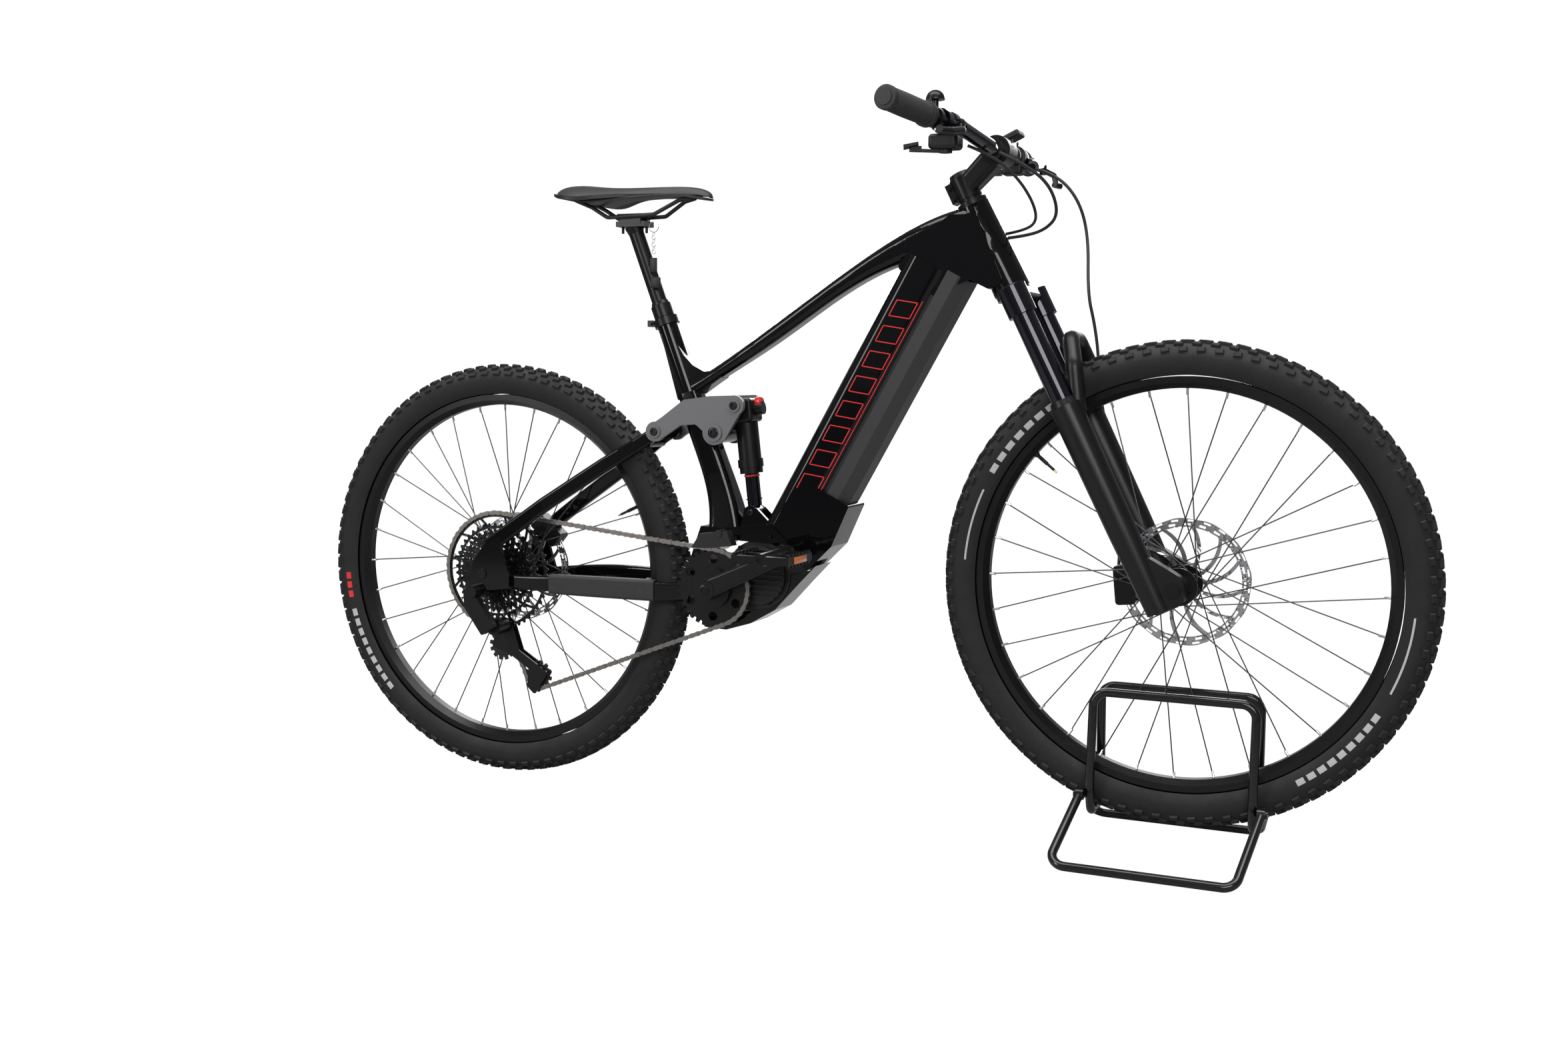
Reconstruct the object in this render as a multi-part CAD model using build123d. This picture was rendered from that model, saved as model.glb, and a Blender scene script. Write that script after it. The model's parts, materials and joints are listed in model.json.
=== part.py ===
from build123d import *
import os
from math import acos, asin, atan2, cos, degrees, pi, radians, sin, sqrt, tan

# Full-suspension electric mountain bicycle with its front wheel in a bent-rod floor stand.
# Frame of the part: +X forward, +Y to the rider's left, +Z up, origin on the floor midway
# between the wheel centres. Side-view points are given as at(x, z, y): x forward of the
# rear wheel's centre and z above the floor. Sizes in millimetres.

# ---------------------------------------------------------------- driving dimensions
WHEELBASE = 1208.8
TYRE_RADIUS = 373.0
TYRE_SECTION = 31.0          # radius of the inflated casing
TYRE_WALL = 3.2
FRONT_LIFT = 47.0            # the stand holds the front tyre this far off the floor
RIM_INNER_RADIUS = 299.5
RIM_FLANGE_RADIUS = 317.6
RIM_HALF_WIDTH = 17.5
SPOKE_COUNT = 32
SPOKE_DIAMETER = 2.0
HUB_FLANGE_RADIUS = 29.0
AXLE_RADIUS = 7.5
RUNNING_FIT = 0.05           # radial clearance of a shaft in its bearing
GAP = 0.3                    # clearance between moving neighbours
ROTOR_RADIUS = 100.0
ROTOR_THICKNESS = 1.8
FRONT_DROPOUT_HALF = 55.0    # half the width between the fork's dropouts
REAR_DROPOUT_HALF = 74.0     # half the width between the rear dropouts

HEAD_ANGLE = 63.6            # steering axis, degrees above the horizontal
FORK_OFFSET = 47.0           # front axle ahead of the steering axis
STANCHION_OFFSET = 14.0      # stanchions ahead of the steering axis
STANCHION_RADIUS = 17.5
CROWN_SLEEVE_RADIUS = 22.5
LEG_SPACING = 66.0           # half the distance between the fork legs
CROWN_TOP = 520.0            # along the steering axis, from the axle's foot on it
CROWN_BOTTOM = 472.0
HEAD_TUBE_BOTTOM = 529.0
HEAD_TUBE_TOP = 670.0
HEAD_TUBE_RADIUS = 28.0
STEERER_RADIUS = 14.3
LOWERS_TOP = 318.0

CRANK_LENGTH = 165.0
CRANK_ANGLE = 25.0           # right crank above the forward horizontal at rest
SPINDLE_RADIUS = 11.9
CHAINRING_TEETH = 32
CHAIN_PITCH = 12.7
CHAINLINE = 52.0
COG_TEETH = (10, 12, 14, 16, 18, 21, 24, 28, 32, 36, 42, 52)
COG_SPACING = 3.55
SMALL_COG_Y = -70.0

BAR_RADIUS = 11.1
BAR_CLAMP_RADIUS = 15.9
BAR_HALF_WIDTH = 390.0
GRIP_RADIUS = 16.0
GRIP_LENGTH = 130.0
POST_RADIUS = 13.6
POST_OUTER_RADIUS = 15.8
SEAT_TUBE_RADIUS = 18.0

STAND_ROD = 14.0
STAND_HALF_LENGTH = 122.0    # hoop legs ahead of and behind the front axle
STAND_HEIGHT = 250.0
STAND_HOOP_HALF_GAP = 30.0   # half the gap between the hoops at their tops
STAND_SHOULDER_HALF_GAP = 42.0
STAND_SHOULDER_HEIGHT = 98.0
STAND_FOOT_HALF_SPREAD = 157.0
STAND_FOOT_SHIFT = -22.0     # foot loops sit this much behind the hoops

X_REAR = -WHEELBASE / 2


def at(x, z, y=0.0):
    """A point from its side-view place: x ahead of the rear axle, z above the floor."""
    return Vector(X_REAR + x, y, z)


REAR_AXLE = at(0, TYRE_RADIUS)
FRONT_AXLE = at(WHEELBASE, TYRE_RADIUS + FRONT_LIFT)
CRANK_CENTRE = at(443, 373)
MAIN_PIVOT = at(393, 366)
STAY_PIVOT = at(41, 362)
ROCKER_REAR = at(326, 633)
ROCKER_PIVOT = at(438, 634)
ROCKER_SHOCK = at(475, 680)
SHOCK_FOOT = at(497, 500)
SEAT_CLAMP_POINT = at(329, 812)
SEAT_TUBE_FOOT = at(376, 690)
SEAT_AXIS = (SEAT_CLAMP_POINT - SEAT_TUBE_FOOT).normalized()
POST_HEAD = SEAT_CLAMP_POINT + SEAT_AXIS * 182
BAR_CENTRE = at(908, 1082)

HEAD_UP = Vector(-cos(radians(HEAD_ANGLE)), 0, sin(radians(HEAD_ANGLE)))
HEAD_FORWARD = Vector(sin(radians(HEAD_ANGLE)), 0, cos(radians(HEAD_ANGLE)))
HEAD_FOOT = FRONT_AXLE - HEAD_FORWARD * FORK_OFFSET


def head(along, ahead=0.0, y=0.0):
    """A point on the fork: along the steering axis, ahead of it and to the left."""
    return HEAD_FOOT + HEAD_UP * along + HEAD_FORWARD * ahead + Vector(0, y, 0)


# ---------------------------------------------------------------- shape helpers
def rod(start, end, radius, end_radius=None):
    """A round bar or cone from one point to another."""
    run = end - start
    plane = Plane(origin=start, z_dir=run)
    if end_radius is None:
        return plane * Cylinder(radius, run.length, align=(Align.CENTER, Align.CENTER, Align.MIN))
    return plane * Cone(radius, end_radius, run.length, align=(Align.CENTER, Align.CENTER, Align.MIN))


def cross_rod(centre, radius, y0, y1):
    """A round bar along Y through a side-view centre."""
    return rod(Vector(centre.X, y0, centre.Z), Vector(centre.X, y1, centre.Z), radius)


def ring(centre, radius, bore, y0, y1):
    return cross_rod(centre, radius, y0, y1) - cross_rod(centre, bore, y0 - 1, y1 + 1)


def side_plate(points, y0, y1, rounding=0.0):
    """A plate with a side-view outline, from y0 to y1."""
    plane = Plane(origin=(0, y1, 0), x_dir=(1, 0, 0), z_dir=(0, -1, 0))
    face = make_face(Polyline(*[(p.X, p.Z) for p in points], close=True))
    if rounding:
        face = fillet(face.vertices(), rounding)
    return plane * extrude(face, y1 - y0)


def smooth_plate(points, y0, y1):
    """A plate whose side-view outline is one closed smooth curve."""
    plane = Plane(origin=(0, y1, 0), x_dir=(1, 0, 0), z_dir=(0, -1, 0))
    face = make_face(Spline(*[(p.X, p.Z) for p in points], periodic=True))
    return plane * extrude(face, y1 - y0)


def beam(stations, ruled=False):
    """A tapering bar through stations of (centre, direction, depth, width, corner radius)."""
    faces = []
    for centre, direction, depth, width, corner in stations:
        plane = Plane(origin=centre, x_dir=Vector(0, 1, 0), z_dir=direction)
        faces.append(plane * RectangleRounded(width, depth, corner))
    return loft(faces, ruled=ruled)


def joined(pieces):
    """Pieces fused into one solid."""
    whole = pieces[0]
    for piece in pieces[1:]:
        whole = whole + piece
    return whole


def bent_rod(points, radius, bends):
    """A rod of straight runs joined by tangent arcs."""
    path = FilletPolyline(*points, radius=bends)
    start = Plane(origin=path @ 0, z_dir=path % 0)
    return sweep(start * Circle(radius), path=path)


def cord_radii(points):
    """The largest arc at each corner of a route: 0.45 of the shorter run over tan(half turn)."""
    radii = []
    for before, here, after in zip(points, points[1:], points[2:]):
        turn = radians((here - before).get_angle(after - here))
        shorter = min((here - before).length, (after - here).length)
        radii.append(0.45 * shorter / tan(turn / 2))
    return radii


def cord(name, points, diameter):
    """A cable or hose along a route, with its bend radii and length printed."""
    radii = cord_radii(points)
    path = FilletPolyline(*points, radius=radii)
    tube = sweep(Plane(origin=path @ 0, z_dir=path % 0) * Circle(diameter / 2), path=path)
    print(name, "length", round(path.length), "tightest bend", round(min(radii), 1),
          "volume ratio", round(tube.volume / (pi * diameter ** 2 / 4 * path.length), 4))
    return tube


def save(name, solid):
    solid.label = name
    export_step(solid, f"parts/{name}.step")


# ---------------------------------------------------------------- wheels
def revolve_about_axle(centre, outline):
    """A ring from a closed outline of (radius, y) points turned about a wheel's axle."""
    plane = Plane(origin=centre, x_dir=(1, 0, 0), z_dir=(0, 0, 1))
    face = plane * make_face(Polyline(*outline, close=True))
    return revolve(face, axis=Axis(centre, (0, 1, 0)))


def tyre(centre):
    plane = Plane(origin=centre, x_dir=(1, 0, 0), z_dir=(0, 0, 1))
    crown = TYRE_RADIUS - TYRE_SECTION
    casing = Pos(crown, 0) * (Circle(TYRE_SECTION) - Circle(TYRE_SECTION - TYRE_WALL))
    open_side = Pos(RIM_FLANGE_RADIUS + GAP - 30, 0) * Rectangle(60, 4 * TYRE_SECTION)
    return revolve(plane * (casing - open_side), axis=Axis(centre, (0, 1, 0)))


def rim(centre):
    w = RIM_HALF_WIDTH
    inner, flange = RIM_INNER_RADIUS, RIM_FLANGE_RADIUS
    seat = flange - 6
    outline = [(inner, -7), (inner, 7), (inner + 8, w), (flange, w), (flange, w - 2.5), (seat, w - 2.5),
               (seat - 3, 8), (seat - 3, -8), (seat, 2.5 - w), (flange, 2.5 - w), (flange, -w), (inner + 8, -w)]
    return revolve_about_axle(centre, outline)


def spokes(centre, flange_left, flange_right):
    """Tangential spokes, three cross, alternating between the two hub flanges."""
    pieces = []
    step = 360 / SPOKE_COUNT
    for index in range(SPOKE_COUNT):
        side = flange_left if index % 2 else flange_right
        lead = 68 if (index // 2) % 2 else -68
        outer_angle = radians(index * step)
        inner_angle = radians(index * step + lead)
        y_rim = 3.0 if side > 0 else -3.0
        reach = RIM_INNER_RADIUS - GAP
        root = HUB_FLANGE_RADIUS + GAP + SPOKE_DIAMETER / 2
        shift = side + (0.9 if lead > 0 else -0.9) * SPOKE_DIAMETER
        start = centre + Vector(root * cos(inner_angle), shift, root * sin(inner_angle))
        end = centre + Vector(reach * cos(outer_angle), y_rim, reach * sin(outer_angle))
        pieces.append(rod(start, end, SPOKE_DIAMETER / 2))
    return Compound(children=pieces)


def hub(centre, y0, y1, flange_right, flange_left, shell_radius):
    body = cross_rod(centre, shell_radius, y0, y1)
    for y in (flange_right, flange_left):
        body += cross_rod(centre, HUB_FLANGE_RADIUS, y - 2, y + 2)
    return body - cross_rod(centre, AXLE_RADIUS + RUNNING_FIT, y0 - 1, y1 + 1)


def rotor(centre, y, bore):
    half = ROTOR_THICKNESS / 2
    band = ring(centre, ROTOR_RADIUS, ROTOR_RADIUS - 14, y - half, y + half)
    hub_ring = ring(centre, 26, bore, y - half, y + half)
    plate = joined([band, hub_ring])
    for index in range(6):
        angle = radians(index * 60)
        tip = radians(index * 60 + 24)
        start = centre + Vector(22 * cos(angle), y - centre.Y, 22 * sin(angle))
        end = centre + Vector((ROTOR_RADIUS - 10) * cos(tip), y - centre.Y, (ROTOR_RADIUS - 10) * sin(tip))
        run = end - start
        plane = Plane(origin=(start + end) * 0.5, x_dir=run, z_dir=(0, 1, 0))
        plate += plane * Box(run.length, 7, ROTOR_THICKNESS)
    return plate


def make_wheels():
    save("front_tyre", tyre(FRONT_AXLE))
    save("front_rim", rim(FRONT_AXLE))
    save("front_spokes", spokes(FRONT_AXLE, 27, -27))
    save("front_hub", hub(FRONT_AXLE, 1 - FRONT_DROPOUT_HALF, FRONT_DROPOUT_HALF - 1, -27, 27, 17))
    save("front_rotor", rotor(FRONT_AXLE, FRONT_ROTOR_Y, 17 + RUNNING_FIT))
    save("rear_tyre", tyre(REAR_AXLE))
    save("rear_rim", rim(REAR_AXLE))
    save("rear_spokes", spokes(REAR_AXLE, 30, -22))
    save("rear_hub", hub(REAR_AXLE, REAR_HUB_RIGHT, REAR_DROPOUT_HALF - 1, -22, 30, 17))
    save("rear_rotor", rotor(REAR_AXLE, REAR_ROTOR_Y, 17 + RUNNING_FIT))


FRONT_ROTOR_Y = 40.0
REAR_ROTOR_Y = 50.0
REAR_HUB_RIGHT = -26.0


# ---------------------------------------------------------------- drivetrain
def pitch_radius(teeth):
    return CHAIN_PITCH / 2 / sin(pi / teeth)


def cog(centre, teeth, y, thickness=1.7, bore=0.0):
    """A toothed disc: one trapezoid tooth per chain roller."""
    pitch = pitch_radius(teeth)
    points = []
    for index in range(teeth):
        base = 2 * pi * index / teeth
        for share, radius in ((0.0, pitch - 3.4), (0.30, pitch - 3.4), (0.42, pitch + 2.6), (0.88, pitch + 2.6)):
            angle = base + 2 * pi * share / teeth
            points.append(centre + Vector(radius * cos(angle), 0, radius * sin(angle)))
    disc = side_plate(points, y - thickness / 2, y + thickness / 2)
    if bore:
        disc -= cross_rod(centre, bore, y - 5, y + 5)
    return disc


def cassette():
    core = ring(REAR_AXLE, 16.5, AXLE_RADIUS + RUNNING_FIT, SMALL_COG_Y - 2, REAR_HUB_RIGHT - GAP)
    cogs = [core]
    for index, teeth in enumerate(COG_TEETH):
        y = SMALL_COG_Y + index * COG_SPACING
        cogs.append(cog(REAR_AXLE, teeth, y, bore=AXLE_RADIUS + 1))
        spacer = pitch_radius(teeth) - 7
        if teeth > 16 and index < len(COG_TEETH) - 1:
            cogs.append(ring(REAR_AXLE, spacer, spacer - 5, y, y + COG_SPACING))
    return joined(cogs)


def chainring():
    outer = pitch_radius(CHAINRING_TEETH)
    disc = cog(CRANK_CENTRE, CHAINRING_TEETH, -CHAINLINE, 2.2, bore=SPINDLE_RADIUS + 18)
    for index in range(6):
        angle = radians(index * 60 + 30)
        middle = CRANK_CENTRE + Vector((outer - 16) * cos(angle), 0, (outer - 16) * sin(angle))
        disc -= cross_rod(middle, 8, -CHAINLINE - 5, -CHAINLINE + 5)
    spider = ring(CRANK_CENTRE, SPINDLE_RADIUS + 22, SPINDLE_RADIUS + RUNNING_FIT, -CHAINLINE - 9, -CHAINLINE - 1.1)
    return joined([disc, spider])


def crank_direction(side):
    angle = radians(CRANK_ANGLE if side < 0 else CRANK_ANGLE + 180)
    return Vector(cos(angle), 0, sin(angle))


def pedal_centre(side):
    return CRANK_CENTRE + crank_direction(side) * CRANK_LENGTH


def crank_arm(side):
    """One arm with its pedal axle: side -1 is the right, driven side."""
    direction = crank_direction(side)
    stations = []
    for share, y, depth, width in ((0.0, 80, 34, 14), (0.45, 83, 30, 13), (1.0, 92, 26, 14)):
        centre = CRANK_CENTRE + direction * (CRANK_LENGTH * share) + Vector(0, side * y, 0)
        stations.append((centre, direction, depth, width, 5.5))
    arm = beam(stations)
    arm += cross_rod(CRANK_CENTRE, 18, side * 73, side * 88)
    arm += cross_rod(pedal_centre(side), 14, side * 85, side * 99)
    arm += cross_rod(pedal_centre(side), 4.5, side * 95, side * 196)
    return arm


def crank_arms():
    spindle = cross_rod(CRANK_CENTRE, SPINDLE_RADIUS, -80, 80)
    return joined([spindle, crank_arm(-1), crank_arm(1)])


def pedal(side):
    """A platform with raised teeth round its rim, on the arm's fixed axle."""
    centre = pedal_centre(side)
    inner, outer = side * (99 + 2), side * 198
    low, high = min(inner, outer), max(inner, outer)
    core = cross_rod(centre, 11, low, high)
    middle = Vector(centre.X, (low + high) / 2, centre.Z)
    frame = Pos(middle) * (Box(98, high - low, 13) - Box(80, high - low - 22, 20))
    rib = Pos(middle) * Box(90, 9, 12)
    body = joined([frame, core, rib])
    for x in (-45.5, 45.5):
        for index in range(7):
            y = low + 8 + index * (high - low - 16) / 6
            for z in (-8.2, 8.2):
                body += Pos(centre.X + x, y, centre.Z + z) * Box(5, 5, 5)
    return body - cross_rod(centre, 4.5 + RUNNING_FIT, low - 1, high + 1)


CHAIN_HALF_GAP = 1.45        # inside face of a chain side plate from the chain's middle
CHAIN_PLATE = 1.7
CHAIN_DEPTH = 8.0
GUIDE_WHEEL = at(10, 237)
TENSION_WHEEL = at(86, 189)
JOCKEY_TEETH = 12
CHAIN_REAR_Y = SMALL_COG_Y + (len(COG_TEETH) - 1) * COG_SPACING


def belt_run(first, first_radius, first_turn, second, second_radius, second_turn):
    """Where a chain leaves one wheel and meets the next; turn is 1 for clockwise, -1 for the other way."""
    run = Vector(second.X - first.X, 0, second.Z - first.Z)
    lean = asin((second_turn * second_radius - first_turn * first_radius) / run.length)
    heading = atan2(run.Z, run.X) + lean
    normal = Vector(-sin(heading), 0, cos(heading))
    start = Vector(first.X, 0, first.Z) + normal * (first_turn * first_radius)
    end = Vector(second.X, 0, second.Z) + normal * (second_turn * second_radius)
    return start, end


def chain_strip(start, end, y0, y1):
    """The two rows of side plates of a straight stretch of chain."""
    rows = []
    for side in (-1, 1):
        shift = side * (CHAIN_HALF_GAP + CHAIN_PLATE / 2)
        a = Vector(start.X, y0 + shift, start.Z)
        b = Vector(end.X, y1 + shift, end.Z)
        run = b - a
        plane = Plane(origin=(a + b) * 0.5, x_dir=run, z_dir=run.cross(Vector(0, 1, 0)).cross(run))
        rows.append(plane * Box(run.length + 0.6, CHAIN_DEPTH, CHAIN_PLATE))
    return rows


def chain_run(start, end, y0, y1, straight0, straight1):
    """A run that leaves and meets its wheels squarely and changes its line only between them."""
    run = (end - start).normalized()
    first, last = start + run * straight0, end - run * straight1
    rows = chain_strip(start, first, y0, y0) + chain_strip(last, end, y1, y1)
    return rows + chain_strip(first, last, y0, y1)


def chain_wrap(centre, radius, y, enter, leave, turn):
    """The rows of side plates round a toothed wheel, from where the chain enters to where it leaves."""
    first = atan2(enter.Z - centre.Z, enter.X - centre.X)
    last = atan2(leave.Z - centre.Z, leave.X - centre.X)
    sweep_angle = ((first - last) * turn) % (2 * pi)
    start = first if turn < 0 else last
    rows = []
    for side in (-1, 1):
        low = min(side * CHAIN_HALF_GAP, side * (CHAIN_HALF_GAP + CHAIN_PLATE))
        inner, outer = radius - CHAIN_DEPTH / 2, radius + CHAIN_DEPTH / 2
        outline = [(inner, low), (outer, low), (outer, low + CHAIN_PLATE), (inner, low + CHAIN_PLATE)]
        heading = Vector(cos(start), 0, sin(start))
        plane = Plane(origin=Vector(centre.X, y, centre.Z), x_dir=heading, z_dir=heading.cross(Vector(0, 1, 0)))
        band = revolve(plane * make_face(Polyline(*outline, close=True)),
                       axis=Axis(Vector(centre.X, y, centre.Z), (0, -1, 0)), revolution_arc=degrees(sweep_angle))
        rows.append(band)
    return rows


def chain():
    """The chain's side plates: four straight runs and the wraps round the four toothed wheels."""
    wheels = [
        (CRANK_CENTRE, pitch_radius(CHAINRING_TEETH), 1, -CHAINLINE, 34),
        (TENSION_WHEEL, pitch_radius(JOCKEY_TEETH), 1, CHAIN_REAR_Y, 22),
        (GUIDE_WHEEL, pitch_radius(JOCKEY_TEETH), -1, CHAIN_REAR_Y, 15),
        (REAR_AXLE, pitch_radius(COG_TEETH[-1]), 1, CHAIN_REAR_Y, 42),
    ]
    runs = []
    for index, (centre, radius, turn, y, straight) in enumerate(wheels):
        other, other_radius, other_turn, other_y, other_straight = wheels[(index + 1) % 4]
        runs.append(belt_run(centre, radius, turn, other, other_radius, other_turn))
    pieces = []
    for index, (centre, radius, turn, y, straight) in enumerate(wheels):
        start, end = runs[index]
        entered = runs[index - 1][1]
        after = wheels[(index + 1) % 4]
        if abs(after[3] - y) < 1:
            pieces += chain_strip(start, end, y, y)
        else:
            pieces += chain_run(start, end, y, after[3], straight, after[4])
        pieces += chain_wrap(centre, radius, y, entered, start, turn)
    near = [piece for index, piece in enumerate(pieces)]
    return joined(near)


# ---------------------------------------------------------------- main frame
DOWN_TUBE_LOW = at(599, 444)
TUBE_UP = Vector(0.483, 0, 0.8756).normalized()      # along the down tube, towards the head
TUBE_OUT = Vector(0.8756, 0, -0.483).normalized()    # square to it, forward and down
TUBE_BASE = at(0, 0)


def tube_point(along, out, y=0.0):
    """A point by its place along the down tube and square to it."""
    return TUBE_BASE + TUBE_UP * along + TUBE_OUT * out + Vector(0, y, 0)


TUBE_INNER = 227.0
TUBE_SEAM = 300.0
COVER_OUTER = 338.0
TUBE_HALF_WIDTH = 36.0
TUBE_WALL = 4.0


def down_tube():
    """A channel of rounded section that opens towards the battery cover."""
    low, high = 676.0, 1186.0
    depth = TUBE_SEAM - TUBE_INNER
    origin = tube_point(low, TUBE_INNER + depth / 2)
    plane = Plane(origin=origin, x_dir=Vector(0, 1, 0), z_dir=TUBE_UP)
    solid = plane * extrude(RectangleRounded(2 * TUBE_HALF_WIDTH, depth, 20), high - low)
    inner_plane = Plane(origin=tube_point(low + 34, TUBE_INNER + TUBE_WALL + 55), x_dir=Vector(0, 1, 0),
                        z_dir=TUBE_UP)
    pocket = inner_plane * extrude(RectangleRounded(2 * (TUBE_HALF_WIDTH - TUBE_WALL), 110, 14), high - low - 64)
    return solid - pocket


def trough_plane(along):
    return Plane(origin=tube_point(along, TUBE_SEAM + GAP), x_dir=Vector(0, -1, 0), z_dir=TUBE_UP)


def battery_pack():
    """The pack fills the channel and bulges into the cover."""
    low, high = 676.0 + 40, 1186.0 - 40
    deep = TUBE_INNER + TUBE_WALL + 2 - TUBE_SEAM
    outline = [(-26, deep), (26, deep), (30, deep + 6), (30, 13), (17, 31), (-17, 31), (-30, 13), (-30, deep + 6)]
    return trough_plane(low) * extrude(make_face(Polyline(*outline, close=True)), high - low)


def cover_section(grow):
    """Cross-section of the battery cover, grown all round by a given amount."""
    depth = COVER_OUTER - TUBE_SEAM - GAP
    half = TUBE_HALF_WIDTH + grow
    points = [(1 - half, -grow), (half - 1, -grow), (half - 3, 20), (20 + grow, depth + grow),
              (-20 - grow, depth + grow), (3 - half, 20)]
    return make_face(Polyline(*points, close=True))


COVER_LOW = 694.0
COVER_HIGH = 1192.0


def battery_cover():
    """The long trough that closes the down tube."""
    skin = cover_section(0)
    inside = [(4 - TUBE_HALF_WIDTH, -1), (TUBE_HALF_WIDTH - 4, -1), (TUBE_HALF_WIDTH - 6, 18), (18, 34.7),
              (-18, 34.7), (6 - TUBE_HALF_WIDTH, 18)]
    hollow = make_face(Polyline(*inside, close=True))
    trough = trough_plane(COVER_LOW) * extrude(skin - hollow, COVER_HIGH - COVER_LOW)
    caps = [trough_plane(along) * extrude(skin, 4) for along in (COVER_LOW, COVER_HIGH - 4)]
    return joined([trough] + caps)


def top_tube():
    stations = [
        (at(384, 706), Vector(0.83, 0, 0.55), 26, 34, 10),
        (at(470, 759), Vector(0.834, 0, 0.551), 22, 38, 9),
        (at(590, 838), Vector(0.834, 0, 0.551), 25, 42, 10),
        (at(716, 916), Vector(0.86, 0, 0.51), 35, 46, 13),
        (at(800, 950), Vector(0.95, 0, 0.31), 56, 52, 18),
        (at(882, 966), Vector(1, 0, 0.1), 70, 52, 20),
    ]
    return beam(stations)


def head_shell():
    """The broad junction of top tube, down tube and head tube."""
    outline = [at(752, 905), at(778, 936), at(838, 985), at(880, 985), at(927, 880), at(905, 868),
               at(872, 884), at(812, 858)]
    shell = side_plate(outline, -31, 31)
    return fillet(shell.edges().filter_by(Axis.Y), 8)


def head_tube():
    top, bottom = head(HEAD_TUBE_TOP), head(HEAD_TUBE_BOTTOM)
    return rod(bottom, top, HEAD_TUBE_RADIUS + 1.5, HEAD_TUBE_RADIUS - 3)


def seat_mast():
    """Seat tube below the top tube: it widens and leans forward to the motor cradle."""
    stations = [
        (at(374, 700), Vector(0.3, 0, -1), 40, 38, 12),
        (at(400, 628), Vector(0.36, 0, -1), 44, 40, 12),
        (at(428, 556), Vector(0.28, 0, -1), 46, 42, 12),
        (at(444, 500), Vector(0.12, 0, -1), 54, 50, 12),
        (at(448, 452), Vector(0.02, 0, -1), 64, 62, 12),
    ]
    return beam(stations)


def seat_gusset():
    outline = [at(322, 800), at(343, 812), at(352, 786), at(366, 764), at(383, 747), at(405, 736), at(425, 738),
               at(440, 728), at(392, 696), at(356, 686)]
    plate = side_plate(outline, -15, 15)
    return fillet(plate.edges().filter_by(Axis.Y), 3)


def motor_cradle():
    """Shell over and in front of the motor, from the seat mast to the down tube."""
    outline = [at(404, 430), at(412, 470), at(470, 476), at(548, 484), at(566, 520), at(600, 560), at(680, 520),
               at(650, 452), at(606, 408), at(584, 432), at(548, 466), at(470, 462), at(428, 430)]
    shell = side_plate(outline, -38, 38)
    return fillet(shell.edges().filter_by(Axis.Y), 4)


def shock_mount():
    """Two ears on the cradle that hold the shock's foot."""
    ears = []
    for y0, y1 in ((-22, -15), (15, 22)):
        ear = side_plate([at(478, 470), at(486, 508), at(508, 508), at(540, 478)], y0, y1)
        ears.append(ear + cross_rod(SHOCK_FOOT, 12, y0, y1))
    return joined(ears)


def main_frame():
    seat_axis = SEAT_AXIS
    seat_top = SEAT_CLAMP_POINT + seat_axis * 16
    seat_tube = rod(SEAT_TUBE_FOOT - seat_axis * 10, seat_top, SEAT_TUBE_RADIUS)
    rocker_boss = cross_rod(ROCKER_PIVOT, 18, -ROCKER_INNER + GAP, ROCKER_INNER - GAP)
    rocker_web = side_plate([at(396, 612), at(390, 656), at(438, 650), at(438, 618)], -19, 19)
    pivot_lug = cross_rod(MAIN_PIVOT, 12, -PIVOT_LUG_HALF, PIVOT_LUG_HALF)
    pivot_web = side_plate([at(381, 366), at(383, 400), at(396, 440), at(408, 474), at(440, 474), at(420, 440),
                            at(410, 400), at(400, 366)], -PIVOT_LUG_HALF, PIVOT_LUG_HALF)
    front_bore = rod(head(HEAD_TUBE_BOTTOM - 60), head(HEAD_TUBE_TOP + 30), CUP_RADIUS + RUNNING_FIT)
    front = joined([piece - front_bore for piece in (head_tube(), head_shell(), top_tube(), down_tube())])
    frame = joined([front, seat_mast(), seat_gusset(), seat_tube,
                    motor_cradle(), rocker_boss, rocker_web, pivot_lug, pivot_web, shock_mount()])
    bore_foot = SEAT_TUBE_FOOT + seat_axis * 16
    frame -= rod(bore_foot, seat_top + seat_axis, POST_OUTER_RADIUS + RUNNING_FIT)
    frame -= cross_rod(MAIN_PIVOT, PIN_RADIUS + RUNNING_FIT, -60, 60)
    frame -= cross_rod(ROCKER_PIVOT, PIN_RADIUS + RUNNING_FIT, -60, 60)
    frame -= motor_space(0.6, 39)
    frame -= trough_plane(COVER_LOW - GAP) * extrude(cover_section(GAP), COVER_HIGH - COVER_LOW + 2 * GAP)
    frame -= battery_space()
    frame -= rod(head(HEAD_TUBE_BOTTOM - 60), head(HEAD_TUBE_BOTTOM), 48)
    frame -= rod(head(HEAD_TUBE_TOP), head(HEAD_TUBE_TOP + 30), HEAD_TUBE_RADIUS - 1)
    return frame


def battery_space():
    """The pocket that the pack sits in, a millimetre larger than the pack."""
    low, high = 715.0, 1147.0
    deep = TUBE_INNER + TUBE_WALL + 1 - TUBE_SEAM
    outline = [(-27, deep), (27, deep), (31, deep + 6), (31, 12), (-31, 12), (-31, deep + 6)]
    return trough_plane(low) * extrude(make_face(Polyline(*outline, close=True)), high - low)


CUP_RADIUS = 21.0
PIN_RADIUS = 6.0
PIVOT_LUG_HALF = 30.0
ROCKER_INNER = 36.0
ROCKER_THICKNESS = 8.0


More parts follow.
